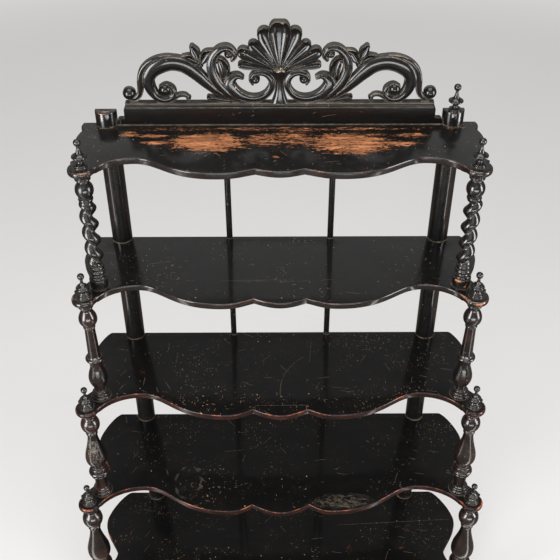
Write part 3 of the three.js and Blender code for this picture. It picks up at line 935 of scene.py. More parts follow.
@dataclass(frozen=True)
class BareWood:
    """Pale close-grained wood without polish."""

    name: str = "bare_dowel_wood"
    pale: Colour = (0.5, 0.34, 0.2)
    dark: Colour = (0.3, 0.18, 0.09)
    rays: Noise = Noise((1.2, 1.2, 18.0), 5.0, 0.65)

    def material(self) -> Material:
        """Builds the finish.

        Returns:
            The material.
        """
        g = Graph(bpy.data.materials.new(self.name))
        ray = g.noise(self.rays)
        return g.shade({"Base Color": g.mix(ray, self.pale, self.dark), "Roughness": g.line(ray, 0.2, 0.6)})


BROWN_EDGED = Polish("brown_edged_polish", edge=(0.018, 0.011, 0.009), rubbed=(0.11, 0.05, 0.032),
                     speck_share=0.15)
RED_EDGED = Polish("red_edged_polish", edge=(0.034, 0.01, 0.007), rubbed=(0.26, 0.07, 0.03), rub_share=0.68,
                   chip_share=0.42)

SHELF_FINISHES = (
    replace(BROWN_EDGED, name="shelf_1_polish", rub_share=0.55, chip_share=0.36, bare=(0.4, 0.158, 0.068),
            gloss=0.13, film=0.8,
            patches=(Patch(-307, 133, 24, 13), Patch(-262, 125, 36, 9), Patch(-246, 99, 34, 10),
                     Patch(-148, 100, 92, 42, 1.25), Patch(-28, 106, 60, 27, 0.8),
                     Patch(28, 112, 50, 34, 0.8), Patch(142, 94, 94, 48, 1.3), Patch(236, 92, 48, 12),
                     Patch(266, 127, 38, 11), Patch(10, 154, 300, 8, 0.5), Patch(-9, 41, 9, 5)),
            strokes=(Stroke((-160, 52), (-142, 66), 0.9), Stroke((-128, 60), (-118, 44), 0.7),
                     Stroke((-172, 50), (-156, 70), 0.6), Stroke((-150, 44), (-136, 58), 0.6),
                     Stroke((-166, 58), (-140, 60), 0.5)),
            scuffs=(Scuff((391, 31, 1318), (9, 7, 9), (0.62, 0.56, 0.48), 1.0),)),
    replace(BROWN_EDGED, name="shelf_2_polish", rub_share=0.6, chip_share=0.42, veil=0.006, film=0.85,
            strokes=(Stroke((-290, 80), (-240, 91), 0.6), Stroke((-72, 78), (-56, 79), 1.1),
                     Stroke((-130, 20), (-30, 21), 0.8, 0.0, 0.2)),
            stains=(Stain(-20, 20, 110, 7, 0.0, 0.14),),
            scuffs=(Scuff((416, -58, 1024), (12, 7, 4), (0.3, 0.11, 0.045), 0.66),)),
    replace(RED_EDGED, name="shelf_3_polish", speck_share=0.25, scratch_share=0.55, veil=0.007, film=0.34,
            strokes=(Stroke((58.7, 95.8), (1.0, -46.7), 0.55, -22.0), Stroke((76, 147), (70, 74), 0.45),
                     Stroke((207, 98.5), (190.6, 73), 0.6), Stroke((117, -8), (159, -14), 0.4),
                     Stroke((-273.5, 18), (-255, -15), 0.5), Stroke((-250, 74), (-248.6, 112), 0.4),
                     Stroke((-58, -66.6), (59, -66), 0.45), Stroke((-58, -66.6), (-57.5, -95), 0.5),
                     Stroke((59, -66), (58.6, -88), 0.5))),
    replace(RED_EDGED, name="shelf_4_polish", film=0.2, veil=0.003, speck_share=0.2, scratch_share=0.38,
            strokes=(Stroke((-144, 51), (-94, 57.6), 0.5), Stroke((-91, 40), (-97, 17), 0.5),
                     Stroke((-415, 177), (-409, 150), 0.5)),
            stains=(Stain(-230, -48, 32, 50, 0.2, 0.03), Stain(155, -108, 72, 24, 0.05, 0.3))),
    replace(RED_EDGED, name="shelf_5_polish", film=0.18, veil=0.003, rub_share=0.66, chip_share=0.4,
            scratch_share=0.4, strokes=(Stroke((154, 67), (482, 86), 0.45),)),
)

POST_POLISH = Polish("post_polish", under=(0.01, 0.007, 0.006), gloss=0.05, grain=(1.6, 1.6, 70.0),
                     plane=Plane.UPRIGHT, speck_share=0.12, scratch_share=0.18, chip_share=0.5)
TURNED_POLISH = Polish("umber_turned_polish", coat=(0.0035, 0.0027, 0.0025), under=(0.023, 0.009, 0.0062),
                       under_share=1.0, gloss=0.12, matt=0.16, corner=(3.0, 0.4, 0.7),
                       grain=(1.5, 1.5, 40.0), plane=Plane.UPRIGHT, rubbed=(0.07, 0.028, 0.017),
                       rub_share=0.58, chip_share=0.3, speck_share=0.08, scratch_share=0.08, dirt_share=0.7)
SCUFFED_POLISH = replace(TURNED_POLISH, name="scuffed_turned_polish", scuffs=(
    Scuff((-442, -88, 612), (32, 26, 42), (0.1, 0.092, 0.078), 0.46),
    Scuff((-430, -92, 578), (24, 22, 26), (0.07, 0.062, 0.052), 0.42)))
BLACK_TURNED = replace(TURNED_POLISH, name="black_turned_polish", coat=(0.003, 0.0027, 0.0026),
                       under=(0.012, 0.0075, 0.006), under_share=0.5, matt=0.14)
CHIPPED_POLISH = replace(BLACK_TURNED, name="chipped_turned_polish", rubbed=(0.08, 0.03, 0.017),
                         bare=(0.42, 0.17, 0.08), rub_share=0.66, chip_share=0.62, speck_share=0.1,
                         scratch_share=0.1,
                         scuffs=(Scuff((374, -9, 1049), (12, 9, 3.6), (0.36, 0.14, 0.06), 0.8),
                                 Scuff((391, -13, 1036), (3.5, 3.5, 3.5), (0.3, 0.11, 0.05), 0.9)))
TWISTED_POLISH = replace(BLACK_TURNED, name="twisted_polish", gloss=0.17, rubbed=(0.05, 0.028, 0.02),
                         rub_share=0.4, chip_share=0.2, speck_share=0.05, scratch_share=0.06, dirt_share=0.6)
FINIAL_POLISH = replace(BLACK_TURNED, name="finial_polish", under=(0.01, 0.0075, 0.006), under_share=0.35,
                        gloss=0.08, matt=0.1, grain=(1.5, 1.5, 20.0), rubbed=(0.06, 0.034, 0.024),
                        rub_share=0.35, chip_share=0.2, scratch_share=0.05, dirt_share=0.85)
CARVED_POLISH = Polish("carved_polish", film=0.7, veil=0.004, coat=(0.002, 0.0019, 0.0018),
                       under=(0.006, 0.0048, 0.0042), gloss=0.08, corner=(4.0, 0.35, 0.65),
                       grain=(26.0, 3.0, 2.4), plane=Plane.UPRIGHT, rubbed=(0.15, 0.125, 0.1),
                       bare=(0.3, 0.19, 0.12), rub_share=0.8, chip_share=0.3, speck_share=0.1,
                       scratch_share=0.1,
                       scuffs=(Scuff((6, 163, 1543), (9, 16, 5), (0.3, 0.21, 0.14), 0.5),
                               Scuff((0, 163, 1446), (24, 20, 7), (0.3, 0.26, 0.2), 0.5)))
GALLERY_POLISH = Polish("gallery_polish", film=0.55, veil=0.003, under_share=0.15, gloss=0.06, matt=0.11,
                        plane=Plane.UPRIGHT, rubbed=(0.075, 0.055, 0.042), rub_share=0.62, chip_share=0.34,
                        dirt=(0.3, 0.25, 0.19), dirt_share=0.95, speck_share=0.03, scratch_share=0.16)


# Shelves


@dataclass
class Plan:
    """A shelf's plan, measured out from the middle and forward from the posts' centre line.

    A pair of numbers is a measure of the top shelf and what it grows by from each shelf to the next.
    """

    index: int
    post_out: float
    rod_out: float
    post_line: float
    fit: float = 0.35
    post_radius: float = 22.5
    post_back: float = 4.0
    rod_radius: float = 6.8
    ear_from_post: tuple[Pair, Pair] = ((26.0, 27.0), (175.0, 37.7))
    corner_from_post: tuple[Pair, Pair] = ((44.0, 7.0), (-4.0, 0.0))
    lobe_from_post: tuple[Pair, Pair] = ((55.0, 19.0), (62.0, 9.0))
    notch_from_post: tuple[Pair, Pair] = ((36.0, 12.7), (133.0, 17.0))
    peak_from_post: tuple[Pair, Pair] = ((-72.0, 16.0), (143.0, 33.4))
    bow: tuple[Pair, Pair] = ((124.0, 0.0), (201.5, 39.0))
    cusp: tuple[Pair, Pair] = ((48.0, 7.0), (184.5, 38.0))
    front: tuple[Pair, Pair] = ((0.0, 0.0), (196.0, 42.5))
    ear_radius: float = 27.24
    nick: float = 2.5
    beak: float = 5.0
    beak_angle: float = -40.0
    stair_angle: float = -36.0
    back_nick: float = -33.0
    ear_start: float = -27.0
    ear_end: float = 129.0
    front_nick: float = 134.0
    rise_angle: float = 140.0

    def grown(self, measures: tuple[Pair, Pair], out: float = 0.0) -> Pair:
        """A point grown to this shelf, its first measure taken from further out."""
        along, forward = (first + step * self.index for first, step in measures)
        return out + along, forward

    @property
    def ear(self) -> Pair:
        """Middle of the right ear: out from the middle, and forward."""
        return self.grown(self.ear_from_post, self.post_out)

    def recess(self, out: float, radius: float, steps: int) -> list[Pair]:
        """The recess for a half-round bar, open at the back edge.

        Args:
            out: Place of the bar's axis.
            radius: The bar's radius.
            steps: Chords of the arc.

        Returns:
            The recess's points, from its inner mouth to its outer one.
        """
        mouth = math.sqrt((radius + self.fit) ** 2 - self.post_back**2)
        spread = math.asin(self.post_back / (radius + self.fit))
        curve = arc((out, 0), radius + self.fit, math.pi + spread, -spread, steps)
        return [(out - mouth, -self.post_back), *curve[1:-1], (out + mouth, -self.post_back)]

    def half(self) -> list[Pair]:
        """The right half of the outline.

        Returns:
            Its points, from the middle of the back edge round to the front's middle.
        """
        ear, radius, post = self.ear, self.ear_radius, self.post_out

        def around(reach: float, degrees: float) -> Pair:
            """A point round the ear's middle."""
            turn = math.radians(degrees)
            return ear[0] + reach * math.cos(turn), ear[1] + reach * math.sin(turn)

        lobe, notch, peak = (self.grown(at, post) for at in (self.lobe_from_post, self.notch_from_post,
                                                             self.peak_from_post))
        bow, cusp, front = (self.grown(at) for at in (self.bow, self.cusp, self.front))
        back = [*self.recess(self.rod_out, self.rod_radius, 12), *self.recess(post, self.post_radius, 28),
                *self._corner(self.grown(self.corner_from_post, post))]
        return [
            *back,
            *sweep(back[-1], lobe, (0.33, 0), (0, 0.33), 18)[1:],
            *sweep(lobe, notch, (0, 0.4), (0.32, 0.32), 16)[1:],
            *sweep(notch, around(radius + self.beak, self.beak_angle), (0, 0.35), (0.4, 0.3), 12)[1:],
            around(radius + self.beak * 0.35, self.stair_angle),
            around(radius - self.nick, self.back_nick),
            *arc(ear, radius, math.radians(self.ear_start), math.radians(self.ear_end), 36),
            around(radius - self.nick, self.front_nick),
            *sweep(around(radius, self.rise_angle), peak, (0.12, 0.55), (0.5, 0), 26),
            *sweep(peak, bow, (0.3, 0), (0.58, 0), 34)[1:],
            *sweep(bow, cusp, (0.5, 0), (0.34, 0.5), 16)[1:],
            *sweep(cusp, front, (0.34, 0.55), (0.34, 0), 14)[1:],
        ]

    def _corner(self, corner: Pair) -> list[Pair]:
        """The back corner: plain on the lower shelves, and with a small lobe on the top one.

        Args:
            corner: The corner's place.

        Returns:
            Its points.
        """
        if self.index:
            return [corner]
        out, top, swell, steps = 5.0, 24.0, 3.4, 8
        lobe = sweep((corner[0] + out, corner[1]), (corner[0] + out, top), (0, 0.3), (0, 0.3), steps)
        swollen = [(x + swell * math.sin(math.pi * i / steps), y) for i, (x, y) in enumerate(lobe)]
        return [*swollen, (corner[0] + 1.2, top + 3.5)]

    def softness(self) -> list[float]:
        """How softly the outline is rounded.

        Returns:
            A number for each point: 1 at the ears and 0 elsewhere.
        """
        out, forward = self.ear
        gaps = [math.hypot(abs(x) - out, y - (self.post_line - forward)) for x, y in self.outline()]
        return [ease(gap, self.ear_radius + 1.6, self.ear_radius + 0.2) for gap in gaps]

    def outline(self) -> list[Pair]:
        """The whole outline in the frame's X and Y."""
        right = [(x, self.post_line - y) for x, y in self.half()]
        return right + [(-x, y) for x, y in reversed(right) if x > TOUCH]


def inset(points: Sequence[Pair], depth: float) -> list[Pair]:
    """Draws a closed outline in, as many points as before, with folded stretches drawn together.

    Args:
        points: The outline.
        depth: How far it is drawn in.

    Returns:
        The new outline.
    """
    p = np.array(points, float)
    area = np.sum(p[:, 0] * np.roll(p[:, 1], -1) - np.roll(p[:, 0], -1) * p[:, 1])
    ahead = np.roll(p, -1, 0) - p
    ahead /= np.maximum(np.linalg.norm(ahead, axis=1, keepdims=True), 1e-9)
    behind = np.roll(ahead, 1, 0)
    inward = np.stack([-(ahead + behind)[:, 1], (ahead + behind)[:, 0]], 1) * np.sign(area)
    length = np.maximum(np.linalg.norm(inward, axis=1, keepdims=True), 1e-6)
    inward /= length
    moved = p + inward * depth * np.clip(2 / length, 1, 1.7)
    for _ in range(3):
        way = np.roll(moved, -1, 0) - moved
        folded = np.sum(way * ahead, axis=1) < 0
        for i in np.flatnonzero(folded):
            j = (i + 1) % len(moved)
            moved[i] = moved[j] = (moved[i] + moved[j]) / 2
    return [(float(x), float(y)) for x, y in moved]


@dataclass
class Slab:
    """A board cut from an outline, with rounded arrises. It is thick along one of the axes."""

    outline: list[Pair]
    thickness: float
    round_low: float
    round_high: float
    place: Callable[[float, float, float], Triple]
    flat_axis: int
    flat_places: Pair
    holes: tuple[tuple[float, float, float, float], ...] = ()
    soft: tuple[float, ...] = ()
    soft_round: float = 5.6
    arris_steps: int = 5
    hole_sides: int = 24

    def form(self) -> Form:
        """Builds the board.

        Returns:
            The form, its two faces still to be filled.
        """
        form = Form(flats=[(self.flat_axis, at) for at in self.flat_places])
        rows = [(False, k) for k in range(self.arris_steps, -1, -1)] + [
            (True, k) for k in range(self.arris_steps + 1)]
        soft = self.soft or (0.0,) * len(self.outline)
        radii = {False: (self.round_low, self.soft_round), True: (self.round_high, self.soft_round)}
        depths = sorted({self._drawn(r, k) for upper in radii for r in radii[upper]
                         for k in range(self.arris_steps + 1)})
        line, reached, drawn = self.outline, 0.0, {}
        for depth in depths:
            line, reached = inset(line, depth - reached) if depth > reached else line, depth
            drawn[depth] = line
        rings = []
        for upper, k in rows:
            crisp, full = radii[upper]
            points = []
            for a, b, share in zip(drawn[self._drawn(crisp, k)], drawn[self._drawn(full, k)], soft):
                drop = (crisp + (full - crisp) * share) * (1 - math.sin(math.pi / 2 * k / self.arris_steps))
                height = self.thickness - drop if upper else drop
                points.append(self.place(a[0] + (b[0] - a[0]) * share, a[1] + (b[1] - a[1]) * share, height))
            rings.append(form.ring(points, math.sin(math.pi * k / self.arris_steps) if upper else 0.0))
        form.skin(rings)
        for x, y, radius, depth in self.holes:
            self._hole(form, x, y, radius, depth)
        return form

    def _drawn(self, radius: float, k: int) -> float:
        """How far a row of a rounded arris is drawn in."""
        return round(radius * (1 - math.cos(math.pi / 2 * k / self.arris_steps)), 6)

    def _hole(self, form: Form, x: float, y: float, radius: float, depth: float) -> None:
        """Adds a round hole from the upper face down.

        Args:
            form: The board's form.
            x: Place of the hole.
            y: Place of the hole.
            radius: Its radius.
            depth: Its depth. At the board's whole thickness it goes through.
        """
        line = circle(radius, self.hole_sides, x, y)
        top = form.ring([self.place(u, v, self.thickness) for u, v in line])
        foot = form.ring([self.place(u, v, self.thickness - depth) for u, v in line], 0.0, 0.6)
        form.skin([top, foot])
        if depth < self.thickness:
            form.cap(foot)


@dataclass
class Shelf:
    """One serpentine shelf board with its ears, its recesses and its bores."""

    number: int
    finish: Polish
    tenon_room: float = 8.35
    mortise_depth: float = 10.0
    arris: float = 2.4
    lower_arris: float = 1.7

    def build(self) -> None:
        """Builds and dresses the shelf."""
        node = f"shelf_{self.number}"
        low, high = box_of(node)
        plan = plan_of(self.number - 1)
        bores = [(plan.ear, high.z - low.z)]
        if self.number > 1:
            bores.append((plan_of(self.number - 2).ear, self.mortise_depth))
        holes = [(side.value * out, plan.post_line - forward, self.tenon_room, depth)
                 for side in Side for (out, forward), depth in bores]
        slab = Slab(plan.outline(), high.z - low.z, self.lower_arris, self.arris,
                    lambda x, y, z: (x, y, low.z + z), 2, (low.z, high.z), tuple(holes),
                    tuple(plan.softness()))
        piece = slab.form().build(f"serpentine_shelf_{self.number}", self.finish.material())
        if self.number == 1:
            cut(piece, countersinks(GALLERY_SCREWS))
        fit(piece, Slot.BOARD, node)


def plan_of(index: int) -> Plan:
    """The plan of a shelf, its posts and rods placed as in the frame.

    Args:
        index: The shelf's number from the top, less one.

    Returns:
        The plan.
    """
    post, rod = "back_post_right", "back_rod_right"
    return Plan(index, axis_of(post)[0], axis_of(rod)[0], box_of(post)[1].y - Plan.post_back)


# Posts and rods


@dataclass
class HalfRoundBar:
    """A half-round bar that stands upright with its flat face on the back plane."""

    node: str
    name: str
    radius: float
    material: Material
    back: float = Plan.post_back
    arc_steps: int = 30
    arris: float = 1.2
    hollow_top: float = 0.0
    skin_gap: float = 0.12
    stretch: float = 90.0

    def build(self) -> Piece:
        """Builds and dresses the bar.

        Returns:
            The bar.
        """
        low, high = box_of(self.node)
        axis_x, axis_y = (low.x + high.x) / 2, high.y - self.back
        spread = math.asin(self.back / self.radius)
        section = arc((0, 0), self.radius, math.pi - spread, math.tau + spread, self.arc_steps)
        section = [(x, min(y, self.back - self.skin_gap)) for x, y in section]
        rows = [(self.arris, 0.0, 0.4), (self.arris * 0.3, self.arris * 0.3, 0.8), (0.0, self.arris, 0.2)]
        height = high.z - low.z
        between = max(2, round(height / self.stretch))
        rows += [(0.0, height * k / between, 0.0) for k in range(1, between)]
        rows += [(0.0, height - self.arris * 1.5, 0.3), (self.arris * 0.4, height - self.arris * 0.4, 1.0),
                 (self.arris * 1.4, height, 0.7)]
        form = Form(flats=[(2, low.z)])
        rings = []
        for depth, z, rub in rows:
            line = inset(section, depth) if depth else section
            rings.append(form.ring([(axis_x + x, axis_y + y, low.z + z) for x, y in line], rub))
        form.skin(rings)
        self._top(form, rings[-1], axis_x, axis_y)
        return fit(form.build(self.name, self.material), Slot.BOARD, self.node)

    def _top(self, form: Form, rim: list[int], axis_x: float, axis_y: float) -> None:
        """Closes the top with rings that fall to a worn middle.

        Args:
            form: The bar's form.
            rim: The last ring of its sides.
            axis_x: The bar's axis.
            axis_y: The bar's axis.
        """
        rings = [rim]
        edge = [form.points[i] for i in rim]
        top = edge[0][2]
        middle_y = axis_y - self.radius * 0.42
        for share in (0.82, 0.6, 0.35, 0.12):
            points = []
            for k, (x, y, _) in enumerate(edge):
                ragged = math.sin(k * 1.7 + share * 9) * 0.35 + math.sin(k * 0.9) * 0.4
                fall = self.hollow_top * (1 - share) * (1 + ragged)
                points.append((axis_x + (x - axis_x) * share, middle_y + (y - middle_y) * share, top - fall))
            rub = [1.0 if self.hollow_top and y > axis_y - self.radius * 0.25 else 0.3 for _, y, _ in points]
            rings.append(form.ring(points, rub, 0.3))
        form.skin(rings)
        form.cap(rings[-1])


# Turned pieces


@dataclass
class Turning:
    """The profile of a turned piece, from its foot up, as radius and height."""

    rows: list[Pair] = field(default_factory=list)

    def to(self, radius: float, height: float) -> "Turning":
        """A straight run to a point."""
        self.rows.append((radius, height))
        return self

    def bead(self, radius: float, height: float, swell: float, steps: int = 8) -> "Turning":
        """Half an ellipse to a point.

        Args:
            radius: Radius at its end.
            height: Height of its end.
            swell: How far it stands out, or in where it is negative.
            steps: Number of chords.

        Returns:
            The same turning.
        """
        start, end = np.array(self.rows[-1]), np.array((radius, height), float)
        way = (end - start) / 2
        out = np.array((way[1], -way[0])) / max(np.linalg.norm(way), 1e-9)
        for k in range(1, steps + 1):
            turn = math.pi * k / steps
            x, y = start + way * (1 - math.cos(turn)) + out * swell * math.sin(turn)
            self.rows.append((float(x), float(y)))
        return self

    def flow(self, *points: Pair, steps: int = 5) -> "Turning":
        """A smooth run from here through some points.

        Args:
            points: Radius and height of each.
            steps: Chords between each two.

        Returns:
            The same turning.
        """
        self.rows += [(float(x), float(y)) for x, y in smooth([self.rows[-1], *points], steps)[1:]]
        return self

    def ring(self, base: float, low: float, high: float, swell: float) -> "Turning":
        """A round ring between two heights, on a base radius."""
        return self.to(base, low).bead(base, high, swell)

    def scaled(self, radial: float, axial: float) -> "Turning":
        """The same profile in another size."""
        return Turning([(r * radial, h * axial) for r, h in self.rows])


def wear_of(rows: Sequence[Pair]) -> tuple[list[float], list[float]]:
    """How rubbed and how dusty each row of a profile is, by how sharply it turns.

    Args:
        rows: The profile, from its foot up.

    Returns:
        The rub and the dust of each row.
    """
    p = np.array(rows, float)
    rub, dust = [0.0] * len(p), [0.0] * len(p)
    for i in range(1, len(p) - 1):
        a, b = p[i] - p[i - 1], p[i + 1] - p[i]
        length = (np.linalg.norm(a) + np.linalg.norm(b)) / 2
        turn = math.atan2(a[0] * b[1] - a[1] * b[0], float(np.dot(a, b)))
        bend = turn / max(length, 0.8)
        rub[i] = 0.85 * ease(bend, 0.15, 1.1)
        dust[i] = 0.8 * ease(-bend, 0.15, 0.7)
    return rub, dust


@dataclass
class Twist:
    """The twisted stretch of a column: one strand wound round the axis, with a hollow between its turns."""

    low: float
    high: float
    hand: int
    share: float
    pitch: float = 39.0
    start: float = 55.0
    crest: float = 18.5
    hollow: float = 7.6
    sharpness: float = 1.3
    end_radius: float = 13.4
    end_length: float = 10.0
    rise: float = 1.4

    def ring(self, height: float, turns: Sequence[float]) -> tuple[list[Pair], list[float]]:
        """One level ring of the strand.

        Args:
            height: Height above the shelf.
            turns: Angles round the column's axis.

        Returns:
            The ring's points, measured from the column's axis, and how dusty each is.
        """
        peak = self.hand * math.tau * ((height - self.start) / self.pitch + self.share)
        full = ease(min(height - self.low, self.high - height), 0, self.end_length)
        points, dust = [], []
        for turn in turns:
            near = abs(math.cos((turn - peak) / 2))
            wound = self.hollow + (self.crest - self.hollow) * near**self.sharpness
            radius = self.end_radius + (wound - self.end_radius) * full
            points.append((radius * math.cos(turn), radius * math.sin(turn)))
            dust.append(0.6 * full * ease(0.3 - near, 0.0, 0.3))
        return points, dust


@dataclass
class TurnedPiece:
    """A piece of wood turned on a lathe about an upright axis."""

    name: str
    node: str
    profile: Turning
    centre: Pair
    base: float
    material: Material
    slot: Slot = Slot.UMBER
    twist: Twist | None = None
    sides: int = 44

    def form(self) -> Form:
        """Turns the profile, and winds the twist where its height is reached.

        Returns:
            The closed form.
        """
        form = Form(sharp=42.0)
        rings, before = [], math.inf
        for (radius, height), rub, dust in zip(self.profile.rows, *wear_of(self.profile.rows)):
            if self.twist and before <= self.twist.low < height:
                rings += self._wound_rings(form)
            rings.append(self._ring(form, radius, height, rub, dust))
            before = height
        form.skin(rings)
        return form

    def _ring(self, form: Form, radius: float, height: float, rub: float, dust: float) -> list[int]:
        """Adds one ring, or a tip where the radius is nothing."""
        line = circle(radius, self.sides, *self.centre) if radius > TOUCH else [self.centre]
        return form.ring([(x, y, self.base + height) for x, y in line], rub, dust)

    def _wound_rings(self, form: Form) -> list[list[int]]:
        """Adds the rings of the twisted stretch.

        Args:
            form: The piece's form.

        Returns:
            The rings, from the lowest up.
        """
        x, y = self.centre
        angles = [math.tau * j / self.sides for j in range(self.sides)]
        way = self.twist.high - self.twist.low
        count = round(way / self.twist.rise)
        rings = []
        for k in range(1, count):
            height = self.twist.low + way * k / count
            spots, dust = self.twist.ring(height, angles)
            rings.append(form.ring([(x + u, y + v, self.base + height) for u, v in spots], 0.1, dust))
        return rings

    def build(self) -> None:
        """Builds and dresses the piece."""
        fit(self.form().build(self.name, self.material), self.slot, self.node)


SEAT_GAP = 0.05
TENON_RADIUS = 8.0
TENON_SHORT = 0.3
SPIGOT_RADIUS = 3.5
SPIGOT_ROOM = 0.4
BORE_DEPTH = 19.0


def collar(profile: Turning, height: float, shelf: float) -> Turning:
    """Ends a column or foot with its collar under the ear and its tenon through it.

    Args:
        profile: The profile so far, up to the neck.
        height: Height of the ear's underside.
        shelf: Thickness of the shelf.

    Returns:
        The finished profile.
    """
    top = height + shelf - TENON_SHORT
    bore = SPIGOT_RADIUS + SPIGOT_ROOM
    profile.flow((11.6, height - 16.4), (14.4, height - 14.2), steps=4)
    profile.to(14.8, height - 13.8).bead(14.8, height - 9.2, 1.2)
    profile.to(14.2, height - 8.6).flow((14.9, height - 6.0), (15.9, height - 1.6), steps=4)
    profile.to(15.9, height).to(TENON_RADIUS, height).to(TENON_RADIUS, top)
    return profile.to(bore, top).to(bore, top - BORE_DEPTH).to(0, top - BORE_DEPTH)


@dataclass
class Column:
    """One of the turned columns between two shelves."""

    tier: int
    side: Side
    material: Material
    foot_depth: float = 9.65

    def build(self) -> None:
        """Builds and dresses the column."""
        node = f"column_{self.tier}_{self.side.label}"
        base = box_of(f"shelf_{self.tier + 1}")[1].z + SEAT_GAP
        under, over = box_of(f"shelf_{self.tier}")
        height = under.z - base - SEAT_GAP
        body, twist = self._body(height)
        foot = [(0.0, -self.foot_depth), (TENON_RADIUS, -self.foot_depth), (TENON_RADIUS, 0.0)]
        profile = collar(Turning(foot + body.rows), height, over.z - under.z)
        centre = axis_of(f"finial_{self.tier}_{self.side.label}")
        TurnedPiece("turned_" + node, node, profile, centre, base, self.material, twist=twist).build()

    def _body(self, height: float) -> tuple[Turning, Twist | None]:
        """The turning between the foot and the collar.

        Args:
            height: Height of the column.

        Returns:
            The turning, and the twist of a top column.
        """
        if self.tier == 1:
            share = 0.3 if self.side is Side.LEFT else 0.065
            return self._twisted(height), Twist(57.5, height - 62.5, self.side.value, share)
        if self.tier == 2:
            return self._vase().scaled(1, height / 279.4), None
        if self.tier == 3:
            return self._pear().scaled(1, height / 281), None
        return self._pear().scaled(1.113, height / 281), None

    @staticmethod
    def _twisted(height: float) -> Turning:
        """The drum below the twist and the ball above it.

        Args:
            height: Height of the column.

        Returns:
            The turning.
        """
        t = Turning([(18.7, 0), (19.5, 0.9)]).to(19.5, 21.2).to(18.7, 22).to(16.6, 22.4)
        t.ring(16.6, 22.8, 29.4, 1.6).to(13.6, 30.2).flow((12.0, 33), (13.8, 35.8), steps=3)
        t.ring(14.9, 36.6, 45, 2.3).to(14.0, 45.8).ring(14.2, 46.6, 55.2, 1.8).to(12.6, 56).to(12.9, 57.4)
        top = height - 279.4
        t.to(13.2, 217.2 + top).ring(13.4, 217.8 + top, 223.6 + top, 1.7).to(11.6, 224.4 + top)
        t.to(12.0, 225.4 + top)
        t.flow((14.6, 228.6 + top), (17.8, 235.4 + top), (18.7, 243 + top), (17.0, 251 + top),
               (12.6, 257.4 + top), (10.1, 260.4 + top))
        return t.to(9.7, 261.4 + top)

    @staticmethod
    def _vase() -> Turning:
        """The second tier: a bulb below a flange, a slim shaft and a ball.

        Returns:
            The turning.
        """
        t = Turning([(19.6, 0)]).bead(19.6, 7, 2.3).to(18.0, 7.5).ring(17.6, 8.0, 14.8, 1.8)
        t.to(14.4, 15.4).ring(14.0, 15.8, 20, 1.2).to(12.2, 20.8)
        t.flow((11.5, 24), (12.4, 28), (15.6, 36.5), (19.6, 46.5), (21.4, 56.5), (20.4, 68), (17.2, 80),
               (14.4, 89.5), (13.5, 95), (14.2, 105), (16.2, 112.5))
        t.to(17.2, 113.6).bead(17.0, 122.8, 3.7).to(15.2, 123.6)
        t.flow((13.7, 128), (13.2, 138), (12.3, 170), (11.4, 200), (11.3, 207))
        t.to(11.8, 207.8).bead(11.8, 213, 1.5).to(11.0, 213.8)
        t.flow((13.2, 217), (18.0, 223.4), (20.0, 232), (18.8, 241), (15.2, 249.6), (12.4, 254.4))
        return t.to(11.4, 256.4).to(11.2, 259.6)

    @staticmethod
    def _pear() -> Turning:
        """The lower tiers: base rings, a drum of rings, a pear and a ball.

        Returns:
            The turning.
        """
        t = Turning([(20.6, 0)]).bead(20.6, 9.2, 2.7).to(18.9, 9.8).ring(18.6, 10.2, 17.4, 2.2)
        t.to(15.6, 18.2).flow((14.4, 21), (14.0, 30), (14.0, 46), (14.4, 55)).to(15.6, 57.6)
        t.to(16.6, 59.6).ring(17.2, 60, 68.2, 3.6).to(18.6, 68.8).bead(18.6, 80.4, 5.6).to(17.0, 81)
        t.ring(16.2, 81.4, 90, 2.8).to(14.2, 90.8).to(13.8, 93)
        t.flow((15.4, 97), (20.6, 106.4), (24.8, 117), (25.7, 127.6), (24.2, 140), (20.4, 155), (16.4, 171),
               (13.2, 186), (11.6, 200), (11.3, 205.6))
        t.to(11.8, 206.4).bead(11.8, 214.8, 2.0).to(11.2, 215.6)
        t.flow((13.6, 219.6), (19.6, 228), (22.0, 238.4), (20.4, 249), (16.0, 256.4), (12.8, 259.6))
        return t.to(11.4, 261).to(11.2, 262)


